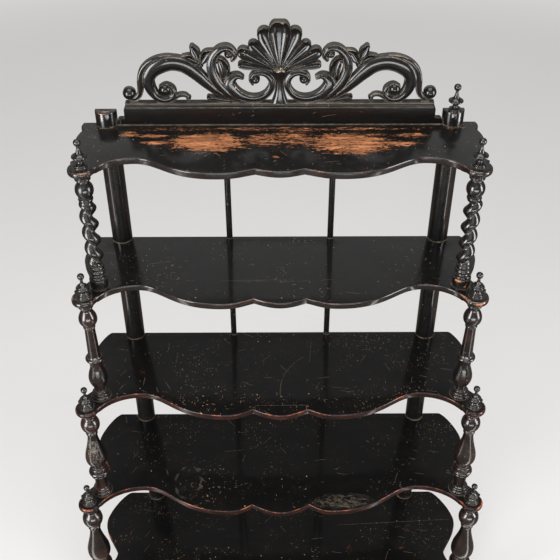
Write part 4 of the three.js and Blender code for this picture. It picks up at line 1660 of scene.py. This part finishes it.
@dataclass
class Finial:
    """A turned finial over an ear or on the post's stub, with its spigot below."""

    node: str
    disc: bool
    material: Material
    spigot: float = 18.0

    def build(self) -> None:
        """Builds and dresses the finial."""
        base = box_of(self.node)[0].z + self.spigot
        t = Turning([(0, -self.spigot), (SPIGOT_RADIUS, -self.spigot), (SPIGOT_RADIUS, 0)])
        (self._disc if self.disc else self._cap)(t)
        t.to(3.0, 43.2).to(3.3, 46.0)
        t.flow((5.0, 47.2), (6.8, 50.2), (7.3, 53.2), (6.7, 56.4), (4.6, 58.8), (2.2, 59.8), (0.0, 60.0),
               steps=4)
        TurnedPiece("turned_" + self.node, self.node, t, axis_of(self.node), base, self.material,
                    Slot.TURNING, sides=36).build()

    @staticmethod
    def _disc(t: Turning) -> None:
        """Two base rings, a waist and a thin-edged disc under the stem.

        Args:
            t: The turning that takes them.
        """
        t.to(13.6, 0).bead(13.6, 3.4, 1.1).to(12.0, 3.8).bead(11.8, 6.6, 1.2).to(10.2, 7.0)
        t.flow((6.8, 9.4), (5.4, 12.2), (6.6, 15.8), (10.0, 19.0), (12.6, 21.0), steps=4)
        t.to(13.4, 21.4).bead(13.4, 25.4, 2.0).to(12.4, 25.8)
        t.flow((9.4, 27.4), (6.4, 30.6), (4.4, 35.4), (3.1, 41.4), (3.0, 43.0), steps=4)

    @staticmethod
    def _cap(t: Turning) -> None:
        """Three base rings, a waist and a stepped, domed cap under the stem.

        Args:
            t: The turning that takes them.
        """
        t.to(14.6, 0).bead(14.6, 3.6, 0.9).to(13.0, 4.0).bead(12.8, 7.2, 1.3).to(11.2, 7.6)
        t.bead(11.0, 10.4, 1.0).to(9.8, 10.8).flow((8.6, 13.4), (9.4, 17.0), (12.2, 20.6), steps=4)
        t.to(12.8, 21.2).bead(12.8, 25.4, 1.7).to(11.4, 25.8).bead(11.0, 28.4, 0.9)
        t.to(9.6, 28.8).flow((7.6, 30.6), (5.6, 32.0), steps=3).to(5.2, 32.4)
        t.flow((3.9, 36.0), (3.1, 41.4), (3.0, 43.0), steps=3)


@dataclass
class Foot:
    """A turned front foot, tenoned up through the ear of the lowest shelf."""

    side: Side
    material: Material

    def build(self) -> None:
        """Builds and dresses the foot."""
        node = f"foot_{self.side.label}"
        under, over = box_of("shelf_5")
        height = under.z - SEAT_GAP
        t = Turning([(0, 0), (13.3, 0)]).flow((14.6, 0.9), (16.4, 3.4), (17.6, 7.4), steps=3)
        t.to(17.8, 8).bead(17.8, 19, 1.0).to(15.8, 20)
        t.flow((14.4, 24.5), (14.6, 29.5), (19.4, 35.5), (24.8, 43), (27.0, 51), (25.4, 60), (20.4, 67.5),
               (15.6, 72.4))
        t.to(14.6, 73.6).to(11.6, 75.4)
        TurnedPiece("turned_" + node, node, collar(t, height, over.z - under.z),
                    axis_of(f"finial_5_{self.side.label}"), 0.0, self.material).build()


# Gallery


@dataclass
class Gallery:
    """The board with stepped ends and the bead moulding that lies on it."""

    finish: Material
    step_length: float = 16.0
    step_height: float = 15.0
    step_round: float = 7.0
    chamfer: float = 6.0
    arris: float = 0.9
    fillet: float = 1.6
    stations: int = 33

    def build(self) -> None:
        """Builds and dresses the board and the moulding."""
        self._board()
        self._moulding()

    def _board(self) -> None:
        """The upright board."""
        low, high = box_of("gallery_board")
        end, height = high.x, high.z - low.z
        inner = end - self.step_length
        corner = (end - self.step_round, self.step_height - self.step_round)
        right = [(end, 0.0), *arc(corner, self.step_round, 0, math.pi / 2, 10)[:-1],
                 (inner + 2.0, self.step_height), (inner, self.step_height + 2.0),
                 *arc((inner - self.chamfer, height - self.chamfer), self.chamfer, 0, math.pi / 2, 8)]
        outline = right + [(-x, z) for x, z in reversed(right)]
        slab = Slab(outline, high.y - low.y, self.arris, self.arris,
                    lambda x, z, y: (x, high.y - y, low.z + z), 1, (high.y, low.y))
        fit(slab.form().build("stepped_gallery_board", self.finish), Slot.BOARD, "gallery_board")

    def _moulding(self) -> None:
        """The bead between two fillets, run along the board's top."""
        low, high = box_of("gallery_moulding")
        height, back, nose = high.z - low.z, high.y, low.y
        fillet, reach = self.fillet, height / 2 - self.fillet
        face = nose + reach * 0.85
        section = [(back, 0.0), (face - 0.9, 0.0), (face - 1.5, 0.4), (face - 1.5, fillet - 0.4),
                   (face - 0.9, fillet)]
        for k in range(1, 12):
            turn = math.pi * k / 12
            section.append((face - (reach * 0.85 - 0.1) * math.sin(turn),
                            fillet + (height - 2 * fillet) * (1 - math.cos(turn)) / 2))
        section += [(face - 0.9, height - fillet), (face - 1.5, height - fillet + 0.4),
                    (face - 1.5, height - 0.4), (face - 0.9, height), (back, height)]
        form = Form(sharp=34.0)
        rub = [0.0, 0.5, 0.6, 0.3, 0.0] + [0.0] * 11 + [0.0, 0.5, 1.0, 0.7, 0.0]
        dust = [0.0, 0.2, 0.0, 0.4, 1.0] + [0.0] * 11 + [1.0, 0.6, 0.0, 0.3, 0.0]
        rings = []
        for k in range(self.stations):
            x = low.x + (high.x - low.x) * k / (self.stations - 1)
            rings.append(form.ring([(x, y, low.z + z) for y, z in section], rub, dust))
        form.tube(rings)
        fit(form.build("bead_moulding", self.finish), Slot.BOARD, "gallery_moulding")


# Crest


@dataclass(frozen=True)
class Section:
    """How a carved band is cut: its crown, its cheek, its hollow, and a rim along one edge."""

    crown: float = 0.75
    cheek: float = 0.78
    hollow: float = 0.0
    rim: float = 0.0
    rim_side: Side = Side.LEFT

    def depth(self, width: float, left: float, right: float, tip: float, body: float) -> float:
        """How far the surface stands from the back.

        Args:
            width: Half-width of the band.
            left: Distance to the left edge.
            right: Distance to the right edge.
            tip: Distance to a rounded tip.
            body: Depth of the plain plate.

        Returns:
            The depth.
        """
        top = body + self.crown * width
        foot = top * self.cheek
        if self.hollow:
            return self._hollow(width, min(left, right, tip), top, foot)
        near, far = (left, right) if self.rim_side is Side.LEFT else (right, left)
        if self.rim and near < self.rim:
            share = min(1.0, min(near, tip) / self.rim)
            return foot + (top * 0.93 - foot) * math.sin(math.pi * share) ** 0.55
        near -= self.rim
        share = min(1.0, min(near, far, tip) / max(0.4, width - self.rim / 2))
        start = foot * 1.04 if self.rim and near < far else foot
        return start + (top - start) * dome(share)

    def _hollow(self, width: float, near: float, top: float, foot: float) -> float:
        """The surface of a hollow leaf with a raised rim.

        Args:
            width: Half-width of the leaf.
            near: Distance to its nearest edge.
            top: Depth of its rim.
            foot: Depth of its cheek.

        Returns:
            The depth.
        """
        rim = min(1.5, width * 0.3)
        if near < rim:
            return foot + (top - foot) * dome(near / rim)
        share = min(1.0, (near - rim) / max(0.5, width - rim))
        return top - self.hollow * width * math.sin(share * math.pi / 2) ** 0.8


@dataclass(frozen=True)
class Band:
    """One carved band of the crest: its middle line with half-widths, and how it is cut."""

    points: tuple[Triple, ...]
    section: Section = Section()
    lift: float = 0.0
    tip_start: bool = False
    tip_end: bool = True
    steps: int = 7
    body: float = 12.0

    def form(self) -> Form:
        """Carves the band.

        Returns:
            The closed form, with its depth along -Y.
        """
        line = self._with_tips(smooth(self.points, self.steps))
        ahead = np.gradient(line[:, :2], axis=0)
        ahead /= np.maximum(np.linalg.norm(ahead, axis=1, keepdims=True), 1e-9)
        across = np.stack([-ahead[:, 1], ahead[:, 0]], 1)
        gaps = np.linalg.norm(np.diff(line[:, :2], axis=0), axis=1)
        run = np.concatenate([[0], np.cumsum(gaps)])
        form = Form(sharp=44.0)
        rings = []
        for i, (x, z, width) in enumerate(line):
            rings.append(self._station(form, (x, z), across[i], float(width), run[i], run[-1] - run[i]))
        form.tube(rings)
        return form

    def _with_tips(self, line: np.ndarray) -> np.ndarray:
        """Adds close stations at the rounded tips.

        Args:
            line: The smoothed middle line.

        Returns:
            The line with its added stations.
        """
        for way in [1] * self.tip_start + [-1] * self.tip_end:
            line = line[::way]
            (x, z, width), ahead = line[0], line[0, :2] - line[1, :2]
            ahead = ahead / max(np.linalg.norm(ahead), 1e-9) * width
            turns = [math.pi / 2 * k / 6 for k in range(6, 0, -1)]
            added = [(x + ahead[0] * math.sin(t), z + ahead[1] * math.sin(t), max(width * math.cos(t), 0.04))
                     for t in turns]
            line = np.vstack([added, line])[::way]
        return line

    def _station(self, form: Form, centre: Pair, across: np.ndarray, width: float, before: float,
                 after: float) -> list[int]:
        """Adds one ring across the band.

        Args:
            form: The band's form.
            centre: Place of the middle line.
            across: Direction to the band's left.
            width: Half-width here.
            before: Way back to the start.
            after: Way on to the end.

        Returns:
            The ring's points.
        """
        full = max(width, self._full(before, after, width))
        tip = min(before if self.tip_start else 1e9, after if self.tip_end else 1e9)
        squeeze = min(1.0, width / 6)
        marks = [0.0, 0.35, 0.8, 1.3, 1.8, 2.3, 3.0]
        edge = [m * squeeze for m in marks if m * squeeze < width * 0.62]
        edge += [edge[-1] + 0.05] * (len(marks) - len(edge))
        left = [-width + e for e in edge]
        middle = [left[-1] * (1 - k / 3) for k in range(1, 3)]
        offsets = left + middle + [0.0] + [-m for m in reversed(middle)] + [-e for e in reversed(left)]
        points, rub, dust = [], [], []
        for u in offsets:
            near_left, near_right = width - u, width + u
            depth = self.section.depth(full, near_left, near_right, tip + 0.02, self.body) + self.lift
            points.append((centre[0] + across[0] * u, -depth, centre[1] + across[1] * u))
            close = min(near_left, near_right, tip)
            rimmed = self.section.hollow or self.section.rim
            rub.append(ease(1.5 - abs(close - 0.9), 0.0, 1.4) if rimmed else 0.1)
            dust.append(0.5 * ease(0.9 - close, 0.0, 0.9))
        points = [(points[0][0], 0.0, points[0][2]), *points, (points[-1][0], 0.0, points[-1][2])]
        return form.ring(points, [0.0, *rub, 0.0], [0.3, *dust, 0.3])

    def _full(self, before: float, after: float, width: float) -> float:
        """The half-width that the section keeps while a tip rounds off.

        Args:
            before: Way back to the start.
            after: Way on to the end.
            width: Half-width here.

        Returns:
            The half-width.
        """
        first, last = self.points[0][2], self.points[-1][2]
        if self.tip_start and before < first:
            return first
        if self.tip_end and after < last:
            return last
        return width


@dataclass(frozen=True)
class Boss:
    """A round carved boss: a dome on short cheeks."""

    x: float
    z: float
    radius: float
    crown: float = 0.8
    lift: float = 1.0
    sides: int = 28
    body: float = Band.body

    def form(self) -> Form:
        """Carves the boss.

        Returns:
            The closed form.
        """
        form = Form(sharp=44.0)
        top = self.body + self.radius * self.crown + self.lift
        foot = self.body * 0.5 + self.lift
        rows = [(self.radius, 0.0, 0.4), (self.radius, foot, 0.7)]
        for turn in (math.pi / 2 * k / 7 for k in range(1, 7)):
            rows.append((self.radius * math.cos(turn), foot + (top - foot) * math.sin(turn), 0.0))
        rings = []
        for radius, depth, dust in rows:
            edge = [(x, -depth, z) for x, z in circle(radius, self.sides, self.x, self.z)]
            rings.append(form.ring(edge, 0.0, dust))
        rings.append(form.ring([(self.x, -top, self.z)], 0.3))
        form.skin(rings)
        form.cap(rings[0])
        return form


ROUND = Section()
RIM_LEFT = Section(crown=0.66, rim=2.6)
RIM_RIGHT = Section(crown=0.66, rim=2.6, rim_side=Side.RIGHT)
LEAF = Section(crown=0.5, cheek=0.72, hollow=0.6)
FLUTE = Section(crown=0.36, cheek=0.72, hollow=0.5)


@dataclass
class Crest:
    """The pierced and carved crest: scrolls, leaves, a shell of nine lobes and its pedestal.

    Places are measured from the middle of the crest's foot, and stand for the right half.
    """

    finish: Material
    main_scroll: Band = Band((
        (243, 33.5, 2), (230, 38.4, 3.6), (217.5, 30, 5.2), (216, 17.5, 6), (226, 8.8, 7), (240.5, 8.4, 8),
        (254, 17.5, 9), (262, 33, 10.6), (263.6, 51, 12), (255, 68.5, 13.6), (237, 81, 14.4),
        (214, 86.8, 14.6), (190, 81.5, 14.2), (166.5, 63, 12.5), (148.5, 44.5, 10.6), (130, 27.5, 8.6),
        (108, 14.2, 7), (80, 5.4, 5.4)), RIM_LEFT, 0.6, tip_start=True, tip_end=False)
    outer_scroll: Band = Band((
        (307, 8.6, 4.2), (296, 6.6, 5.4), (285.5, 16, 5.8), (282, 33, 6.4), (280.5, 51, 6.8), (275, 68, 7),
        (262, 82.5, 7), (243, 92.5, 6.8), (220, 96.5, 6), (198, 92, 5), (180, 80, 4)), RIM_LEFT, -1.6,
        tip_start=True)
    tall_scroll: Band = Band((
        (70, 2.6, 5), (86, 7.6, 6.4), (104, 19, 8.8), (120, 36, 10), (131, 54, 10), (136, 72, 9.6),
        (135, 91, 9), (127, 106, 8.4), (115, 116, 7.6), (102, 117.5, 6.6), (92, 110, 5.6), (88.5, 100, 5),
        (94, 92.5, 4.2)), RIM_RIGHT, 1.6)
    low_scroll: Band = Band((
        (75.5, 54, 4.4), (84, 57.6, 6.2), (94, 54, 9), (101, 43, 11.6), (96.5, 28, 12.6), (83, 16, 11),
        (62, 8.6, 8.2), (42, 9.4, 7.4), (26, 18, 7.2), (16.5, 33, 7.2), (16.5, 49, 7), (26, 61.5, 6.6),
        (41, 64.6, 6), (53.4, 59, 5.4), (58.6, 48.6, 4), (54.6, 39.2, 2.8)), RIM_LEFT, 0.4, tip_start=True)
    inner_leaf: Band = Band((
        (130, 88, 4), (119, 89.5, 8), (112, 78, 11), (110, 62, 10.6), (111, 46, 7.4), (115, 33, 3)), LEAF,
        -0.4, tip_start=True)
    low_leaf: Band = Band((
        (231, 4.4, 4), (217, 7.6, 4.4), (204, 14.6, 4.4), (192.5, 14.4, 4), (185, 7.4, 3.6)), RIM_LEFT,
        -0.8)
    tail_leaf: Band = Band(((98, 3.6, 4), (116, 5.4, 4.6), (130, 8.6, 4.4), (141, 9.6, 3.8)), ROUND, -0.8)
    petals: tuple[Band, ...] = (
        Band(((158.5, 82, 4), (168, 89, 8.6), (178, 95, 9.4), (190, 96.5, 6)), LEAF, 0.2),
        Band(((159.5, 84, 3.4), (163, 98, 7), (167.5, 109, 9.4), (172.5, 118.5, 5.4)), LEAF, 1.2),
        Band(((156.5, 83, 3.8), (151, 94, 9), (144.5, 104, 9), (134, 108.5, 5.6)), LEAF, 0.2),
    )
    pedestal: Band = Band((
        (0, 0, 16.2), (0, 8, 13.2), (0, 20, 10), (0, 34, 8.2), (0, 48, 8.2), (0, 58, 10.6), (0, 66, 14.4),
        (0, 72.5, 16.6)), Section(crown=0.5, cheek=0.62), 1.4, tip_end=False)
    lobes: tuple[Triple, ...] = (
        (0, 173.4, 22.6), (35.0, 159.0, 15.2), (59.5, 130.0, 11.6), (83.0, 113.5, 13.2), (85.6, 82.0, 7.8))
    root: Pair = (0.0, 66.0)
    bosses: tuple[Boss, ...] = (
        Boss(233.0, 27.6, 12.6, crown=0.5, lift=2.0), Boss(306.6, 18.0, 13.2, crown=0.5, lift=0.4),
        Boss(101.5, 103.2, 8.4, crown=0.7, lift=1.6), Boss(48.4, 48.6, 8.6, crown=0.7, lift=1.6),
        Boss(186.2, 7.8, 5.2, lift=0.6), Boss(144.2, 9.0, 5.0, lift=0.6),
        Boss(158, 80.4, 6.2, crown=0.9, lift=0.8))

    def build(self) -> None:
        """Carves and dresses the crest."""
        low, high = box_of("crest_carving")
        whole = Form(sharp=44.0)
        seat = (0.0, high.y, low.z)
        whole.join(self.pedestal.form().moved(seat))
        whole.join(self._lobe(*self.lobes[0], 2.2).moved(seat))
        for side in Side:
            flip = side is Side.LEFT
            for part in (self.main_scroll, self.outer_scroll, self.tall_scroll, self.low_scroll,
                         self.inner_leaf, self.low_leaf, self.tail_leaf, *self.petals, *self.bosses):
                whole.join(part.form().moved(seat, flip))
            for k, lobe in enumerate(self.lobes[1:]):
                whole.join(self._lobe(*lobe, 1.2 - 0.8 * k).moved(seat, flip))
        piece = whole.build("carved_crest", self.finish)
        for vertex in piece.data.vertices:
            vertex.co.z = min(max(vertex.co.z, low.z * MM), high.z * MM)
        fit(piece, Slot.CARVING, "crest_carving")

    def _lobe(self, tip_x: float, tip_z: float, half: float, lift: float) -> Form:
        """Carves one fluted lobe of the shell.

        Args:
            tip_x: Place of its tip.
            tip_z: Place of its tip.
            half: Its greatest half-width.
            lift: How far it stands before its neighbours.

        Returns:
            The lobe's form.
        """
        way = Vector((tip_x - self.root[0], tip_z - self.root[1]))
        reach, ahead = way.length, way / way.length
        shares = ((0.0, 0.16), (0.12, 0.2), (0.3, 0.36), (0.5, 0.6), (0.68, 0.82), (0.8, 0.96), (0.88, 1.0),
                  (0.935, 0.93))
        end = 1 - 0.86 * half * 0.62 / reach
        points = tuple((self.root[0] + ahead.x * reach * s * end, self.root[1] + ahead.y * reach * s * end,
                        half * w) for s, w in shares)
        return Band(points, FLUTE, lift, steps=5, body=Band.body + 1).form()

# Screws


GALLERY_SCREWS = [f"gallery_screw_{number}" for number in range(1, 4)]
COUNTERSINK = ((5.6, -0.6), (5.0, 0.0), (2.5, 2.7), (2.5, 3.4))


def post_screws(side: Side) -> list[str]:
    """The nodes of the screws through one post."""
    return [f"post_screw_{number}_{side.label}" for number in range(1, 6)]


def countersinks(nodes: Sequence[str]) -> Piece:
    """The cones that make room for the heads of some screws.

    Args:
        nodes: The screws' nodes.

    Returns:
        One object that holds the cones.
    """
    form = Form()
    for node in nodes:
        (low, high), (x, y) = box_of(node), axis_of(node)
        rings = []
        for radius, depth in COUNTERSINK:
            if node in GALLERY_SCREWS:
                points = [(u, v, low.z + depth) for u, v in circle(radius, 24, x, y)]
            else:
                points = [(u, high.y - depth, v) for u, v in circle(radius, 24, x, (low.z + high.z) / 2)]
            rings.append(form.ring(points))
        form.tube(rings)
    return form.build("countersinks")


@dataclass
class Screws:
    """The countersunk wood screws through the posts and up through the top shelf."""

    material: Material
    shank: float = 2.3
    head: float = 4.7
    head_depth: float = 2.6
    slot_width: float = 1.0
    slot_depth: float = 1.1
    pitch: float = 2.2
    thread: float = 0.55
    plain: float = 6.0
    point: float = 6.0

    def build(self) -> None:
        """Builds and dresses every screw, each with its slot turned another way."""
        for number in range(1, 6):
            for side in Side:
                self._screw(post_screws(side)[number - 1], number * 37.0 + side.value * 20)
        for number, node in enumerate(GALLERY_SCREWS, start=1):
            self._screw(node, number * 51.0)

    def _screw(self, node: str, spin: float) -> None:
        """Builds one screw, upwards in the gallery and forwards in the posts.

        Args:
            node: The frame's node.
            spin: How far its slot is turned, in degrees.
        """
        (low, high), (x, y) = box_of(node), axis_of(node)
        if node in GALLERY_SCREWS:
            head, length, tilt = Vector((x, y, low.z)), high.z - low.z, math.pi
        else:
            head, length, tilt = Vector((x, high.y, (low.z + high.z) / 2)), high.y - low.y, -math.pi / 2
        turn = Matrix.Rotation(tilt, 3, "X") @ Matrix.Rotation(math.radians(spin), 3, "Z")
        form = Form(sharp=30.0)
        for part in (self._shaft(length), self._half_head(1), self._half_head(-1)):
            points = [tuple(head + turn @ Vector(p)) for p in part.points]
            form.join(Form(points, part.faces, part.rub, part.dust))
        fit(form.build("slotted_" + node, self.material), Slot.STEEL, node)

    def _shaft(self, length: float) -> Form:
        """The cone under the slot, the shank and its thread, pointing down from the origin.

        Args:
            length: Length of the screw.

        Returns:
            The closed form.
        """
        root, reach = self.shank - self.thread, length - self.point
        rows = [(0.0, -self.slot_depth), (self.head * 0.62, -self.slot_depth)]
        rows.append((self.shank, -self.head_depth))
        turns = int((reach - self.head_depth - self.plain - 2) / self.pitch)
        for k in range(turns):
            z = -self.head_depth - self.plain - k * self.pitch
            rows += [(root, z), (self.shank, z - 0.5), (self.shank, z - 0.8), (root, z - 1.4)]
        rows += [(self.shank * 0.7, -reach), (0.0, -length)]
        form = Form()
        lines = [(circle(radius, 16) if radius > TOUCH else [(0, 0)], z) for radius, z in rows]
        form.skin([form.ring([(x, y, z) for x, y in line]) for line, z in lines])
        return form

    def _half_head(self, sign: int) -> Form:
        """One half of the head, on its side of the slot.

        Args:
            sign: The side: 1 or -1.

        Returns:
            The closed form.
        """
        form = Form()
        rings = []
        foot = -self.slot_depth - 0.35
        for radius, z in ((self.head * 0.985, -0.05), (self.head, -0.25), (self.head * 0.6, foot)):
            start = math.asin(self.slot_width / 2 / radius)
            rim = arc((0, 0), radius, start, math.pi - start, 28)
            rings.append(form.ring([(x, y * sign, z) for x, y in rim]))
        form.tube(rings)
        return form


# Studio


@dataclass(frozen=True)
class Lamp:
    """A soft lamp that looks at the etagere: its place, its width and height, and its power in watts."""

    name: str
    place: Triple
    size: Pair
    power: float
    glossy_only: bool = False

    def build(self) -> None:
        """Hangs the lamp."""
        data = bpy.data.lights.new(self.name, "AREA")
        data.shape, data.energy = "RECTANGLE", self.power
        data.size, data.size_y = self.size[0] * MM, self.size[1] * MM
        lamp = bpy.data.objects.new(self.name, data)
        lamp.visible_camera = False
        lamp.visible_diffuse = not self.glossy_only
        lamp.location = Vector(self.place) * MM
        middle = (CAD_BOX[0] + CAD_BOX[1]) / 2
        lamp.rotation_euler = (middle - lamp.location).to_track_quat("-Z", "Y").to_euler()
        bpy.context.scene.collection.objects.link(lamp)


@dataclass
class Studio:
    """The pale floor, the soft lights and the camera at the photograph's angle.

    A glint is a strip of the floor that glows only in reflections, a painted highlight on the polish: its
    direction, its width and its strength.
    """

    eye: Triple = (-4.1, -1498.0, 2228.7)
    pitch: float = 38.302
    roll: float = 0.103
    yaw: float = 0.138
    focal_pixels: float = 900.0
    frame_pixels: float = 560.0
    sensor: float = 36.0
    light: Colour = (1.0, 0.99, 0.975)
    lit: float = 0.36
    mirrored: float = 0.2
    seen: float = 0.92
    floor_half: float = 9000.0
    floor_colour: Colour = (0.3, 0.297, 0.292)
    # the floor's colour to glossy rays only: a painted darker reflection of the floor in the polish
    floor_painted_reflection: Colour = (0.11, 0.085, 0.07)
    floor_clouds: Noise = Noise(700.0, 2.0)
    floor_glow: float = 0.4
    floor_fade: float = 0.43
    fade_reach: Pair = (3700.0, 6900.0)
    # painted highlights: floor strips that glow only in reflections, so the polish catches them though no
    # lamp stands there
    painted_glints: tuple[Triple, ...] = ((50.0, 4.0, 6.0), (-54.0, 6.0, 3.5))
    glint_start: Pair = (350.0, 700.0)
    glint_end: Pair = (3200.0, 2400.0)
    glint_centre: float = 170.0
    lamps: tuple[Lamp, ...] = (
        Lamp("tall_left", (-1800, -1650, 1350), (900, 1900), 95),
        Lamp("tall_right", (2250, -900, 1350), (650, 1900), 62),
        Lamp("soft_top", (0, -300, 3900), (2600, 2600), 85),
        Lamp("low_front", (300, -2900, 620), (2400, 620), 55),
        Lamp("high_front", (-100, -2500, 2900), (2000, 1100), 9),
        Lamp("long_back", (0, 1700, 2350), (5200, 760), 3.5, glossy_only=True))

    def build(self) -> None:
        """Builds the floor, the lights and the camera."""
        self._floor()
        self._world()
        for lamp in self.lamps:
            lamp.build()
        self._camera()

    def _floor(self) -> None:
        """A wide pale floor with a faint cloudiness."""
        form = Form()
        corners = ((-1, -1), (1, -1), (1, 1), (-1, 1))
        halves = [self.floor_half * share for share in (0.25, 0.5, 1.0)]
        rings = [form.ring([(x * half, y * half, 0.0) for x, y in corners]) for half in halves]
        form.skin(rings)
        form.cap(rings[0])
        floor = form.build("studio_floor", self._floor_material())

    def _floor_material(self) -> Material:
        """The floor's finish, which glows to the eye, is painted darker in reflections and shows its glints,
        painted highlights, only in reflections.

        Returns:
            The material.
        """
        g = Graph(bpy.data.materials.new("pale_floor"))
        rays = g.node("ShaderNodeLightPath").outputs
        seen, glossy = rays["Is Camera Ray"], rays["Is Glossy Ray"]
        darker = tuple(c * 0.93 for c in self.floor_colour)
        pale = g.mix(g.noise(self.floor_clouds), self.floor_colour, darker)
        x, y, _ = g.axes
        turn = g.math("ARCTAN2", x, g.minus(self.glint_centre, y))
        reach = g.vector("LENGTH", g.place)
        glow = g.times(seen, g.line(g.step(reach, *self.fade_reach), self.floor_fade, self.floor_glow))
        band = g.times(g.step(reach, *self.glint_start), g.step(reach, *self.glint_end))
        # painted highlights: each glint strip glows only to glossy rays, though no lamp stands there
        for azimuth, width, strength in self.painted_glints:
            off = g.size(g.minus(turn, math.radians(azimuth)))
            strip = g.step(off, math.radians(width), math.radians(width * 0.5))
            glow = g.plus(glow, g.times(strip, band, strength, glossy))
        # painted reflection: the floor takes a darker colour when it is seen in the polish
        return g.shade({"Base Color": g.mix(glossy, pale, self.floor_painted_reflection), "Roughness": 0.8,
                        "Specular IOR Level": 0.1, "Emission Color": self.light, "Emission Strength": glow})

    def _world(self) -> None:
        """A pale surround, brighter to the eye than as a light, and darker in reflections."""
        world = bpy.context.scene.world = bpy.data.worlds.new("studio")
        g = Graph(world)
        rays = g.node("ShaderNodeLightPath").outputs
        strength = g.line(rays["Is Glossy Ray"], self.mirrored - self.lit, self.lit)
        strength = g.line(rays["Is Camera Ray"], self.seen - self.lit, strength)
        g.shade({"Color": self.light, "Strength": strength})

    def _camera(self) -> None:
        """The camera, solved from the photograph."""
        data = bpy.data.cameras.new("camera")
        data.sensor_width = self.sensor
        data.lens = self.focal_pixels / self.frame_pixels * self.sensor
        data.clip_start, data.clip_end = 0.05, 60
        camera = bpy.data.objects.new("camera", data)
        turn = (Matrix.Rotation(-math.radians(self.yaw), 4, "Z")
                @ Matrix.Rotation(math.radians(90 - self.pitch), 4, "X")
                @ Matrix.Rotation(-math.radians(self.roll), 4, "Z"))
        camera.matrix_world = Matrix.Translation(Vector(self.eye) * MM) @ turn
        bpy.context.scene.collection.objects.link(camera)
        bpy.context.scene.camera = camera
        bpy.context.scene.view_settings.view_transform = "Standard"


def build_uprights() -> None:
    """Builds the back posts, their screw holes and the back rods."""
    finish = POST_POLISH.material()
    for side in Side:
        hollow = 3.2 if side is Side.LEFT else 0.0
        post = HalfRoundBar(f"back_post_{side.label}", f"half_round_post_{side.label}", 22.5, finish,
                            hollow_top=hollow).build()
        cut(post, countersinks(post_screws(side)))
        HalfRoundBar(f"back_rod_{side.label}", f"half_round_rod_{side.label}", 6.8, finish, arc_steps=16,
                     arris=0.4).build()


def build_turnings() -> None:
    """Builds the columns, the feet and the finials, most of them in the same umber polish."""
    umber = TURNED_POLISH.material()
    own = {(1, Side.RIGHT): CHIPPED_POLISH.material(), (1, Side.LEFT): TWISTED_POLISH.material(),
           (3, Side.LEFT): SCUFFED_POLISH.material()}
    finish = FINIAL_POLISH.material()
    for side in Side:
        for tier in range(1, 5):
            Column(tier, side, own.get((tier, side), umber)).build()
        Foot(side, umber).build()
    for side in Side:
        for number in range(1, 6):
            Finial(f"finial_{number}_{side.label}", number == 1, finish).build()
    Finial("post_finial_right", True, finish).build()


def dress_dowel() -> None:
    """Gives the hidden dowel its bare wood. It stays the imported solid."""
    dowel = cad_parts["crest_dowel"]
    dowel.data.materials.clear()
    dowel.data.materials.append(BareWood().material())


def main() -> None:
    """Builds the pieces in order, from the boards to the crest, and then the studio."""
    logging.basicConfig(level=logging.INFO, format="%(name)s: %(message)s")
    for number, finish in enumerate(SHELF_FINISHES, start=1):
        Shelf(number, finish).build()
    build_uprights()
    build_turnings()
    Gallery(GALLERY_POLISH.material()).build()
    Crest(CARVED_POLISH.material()).build()
    Screws(ScrewMetal().material()).build()
    dress_dowel()
    Studio().build()


if __name__ == "__main__":
    main()
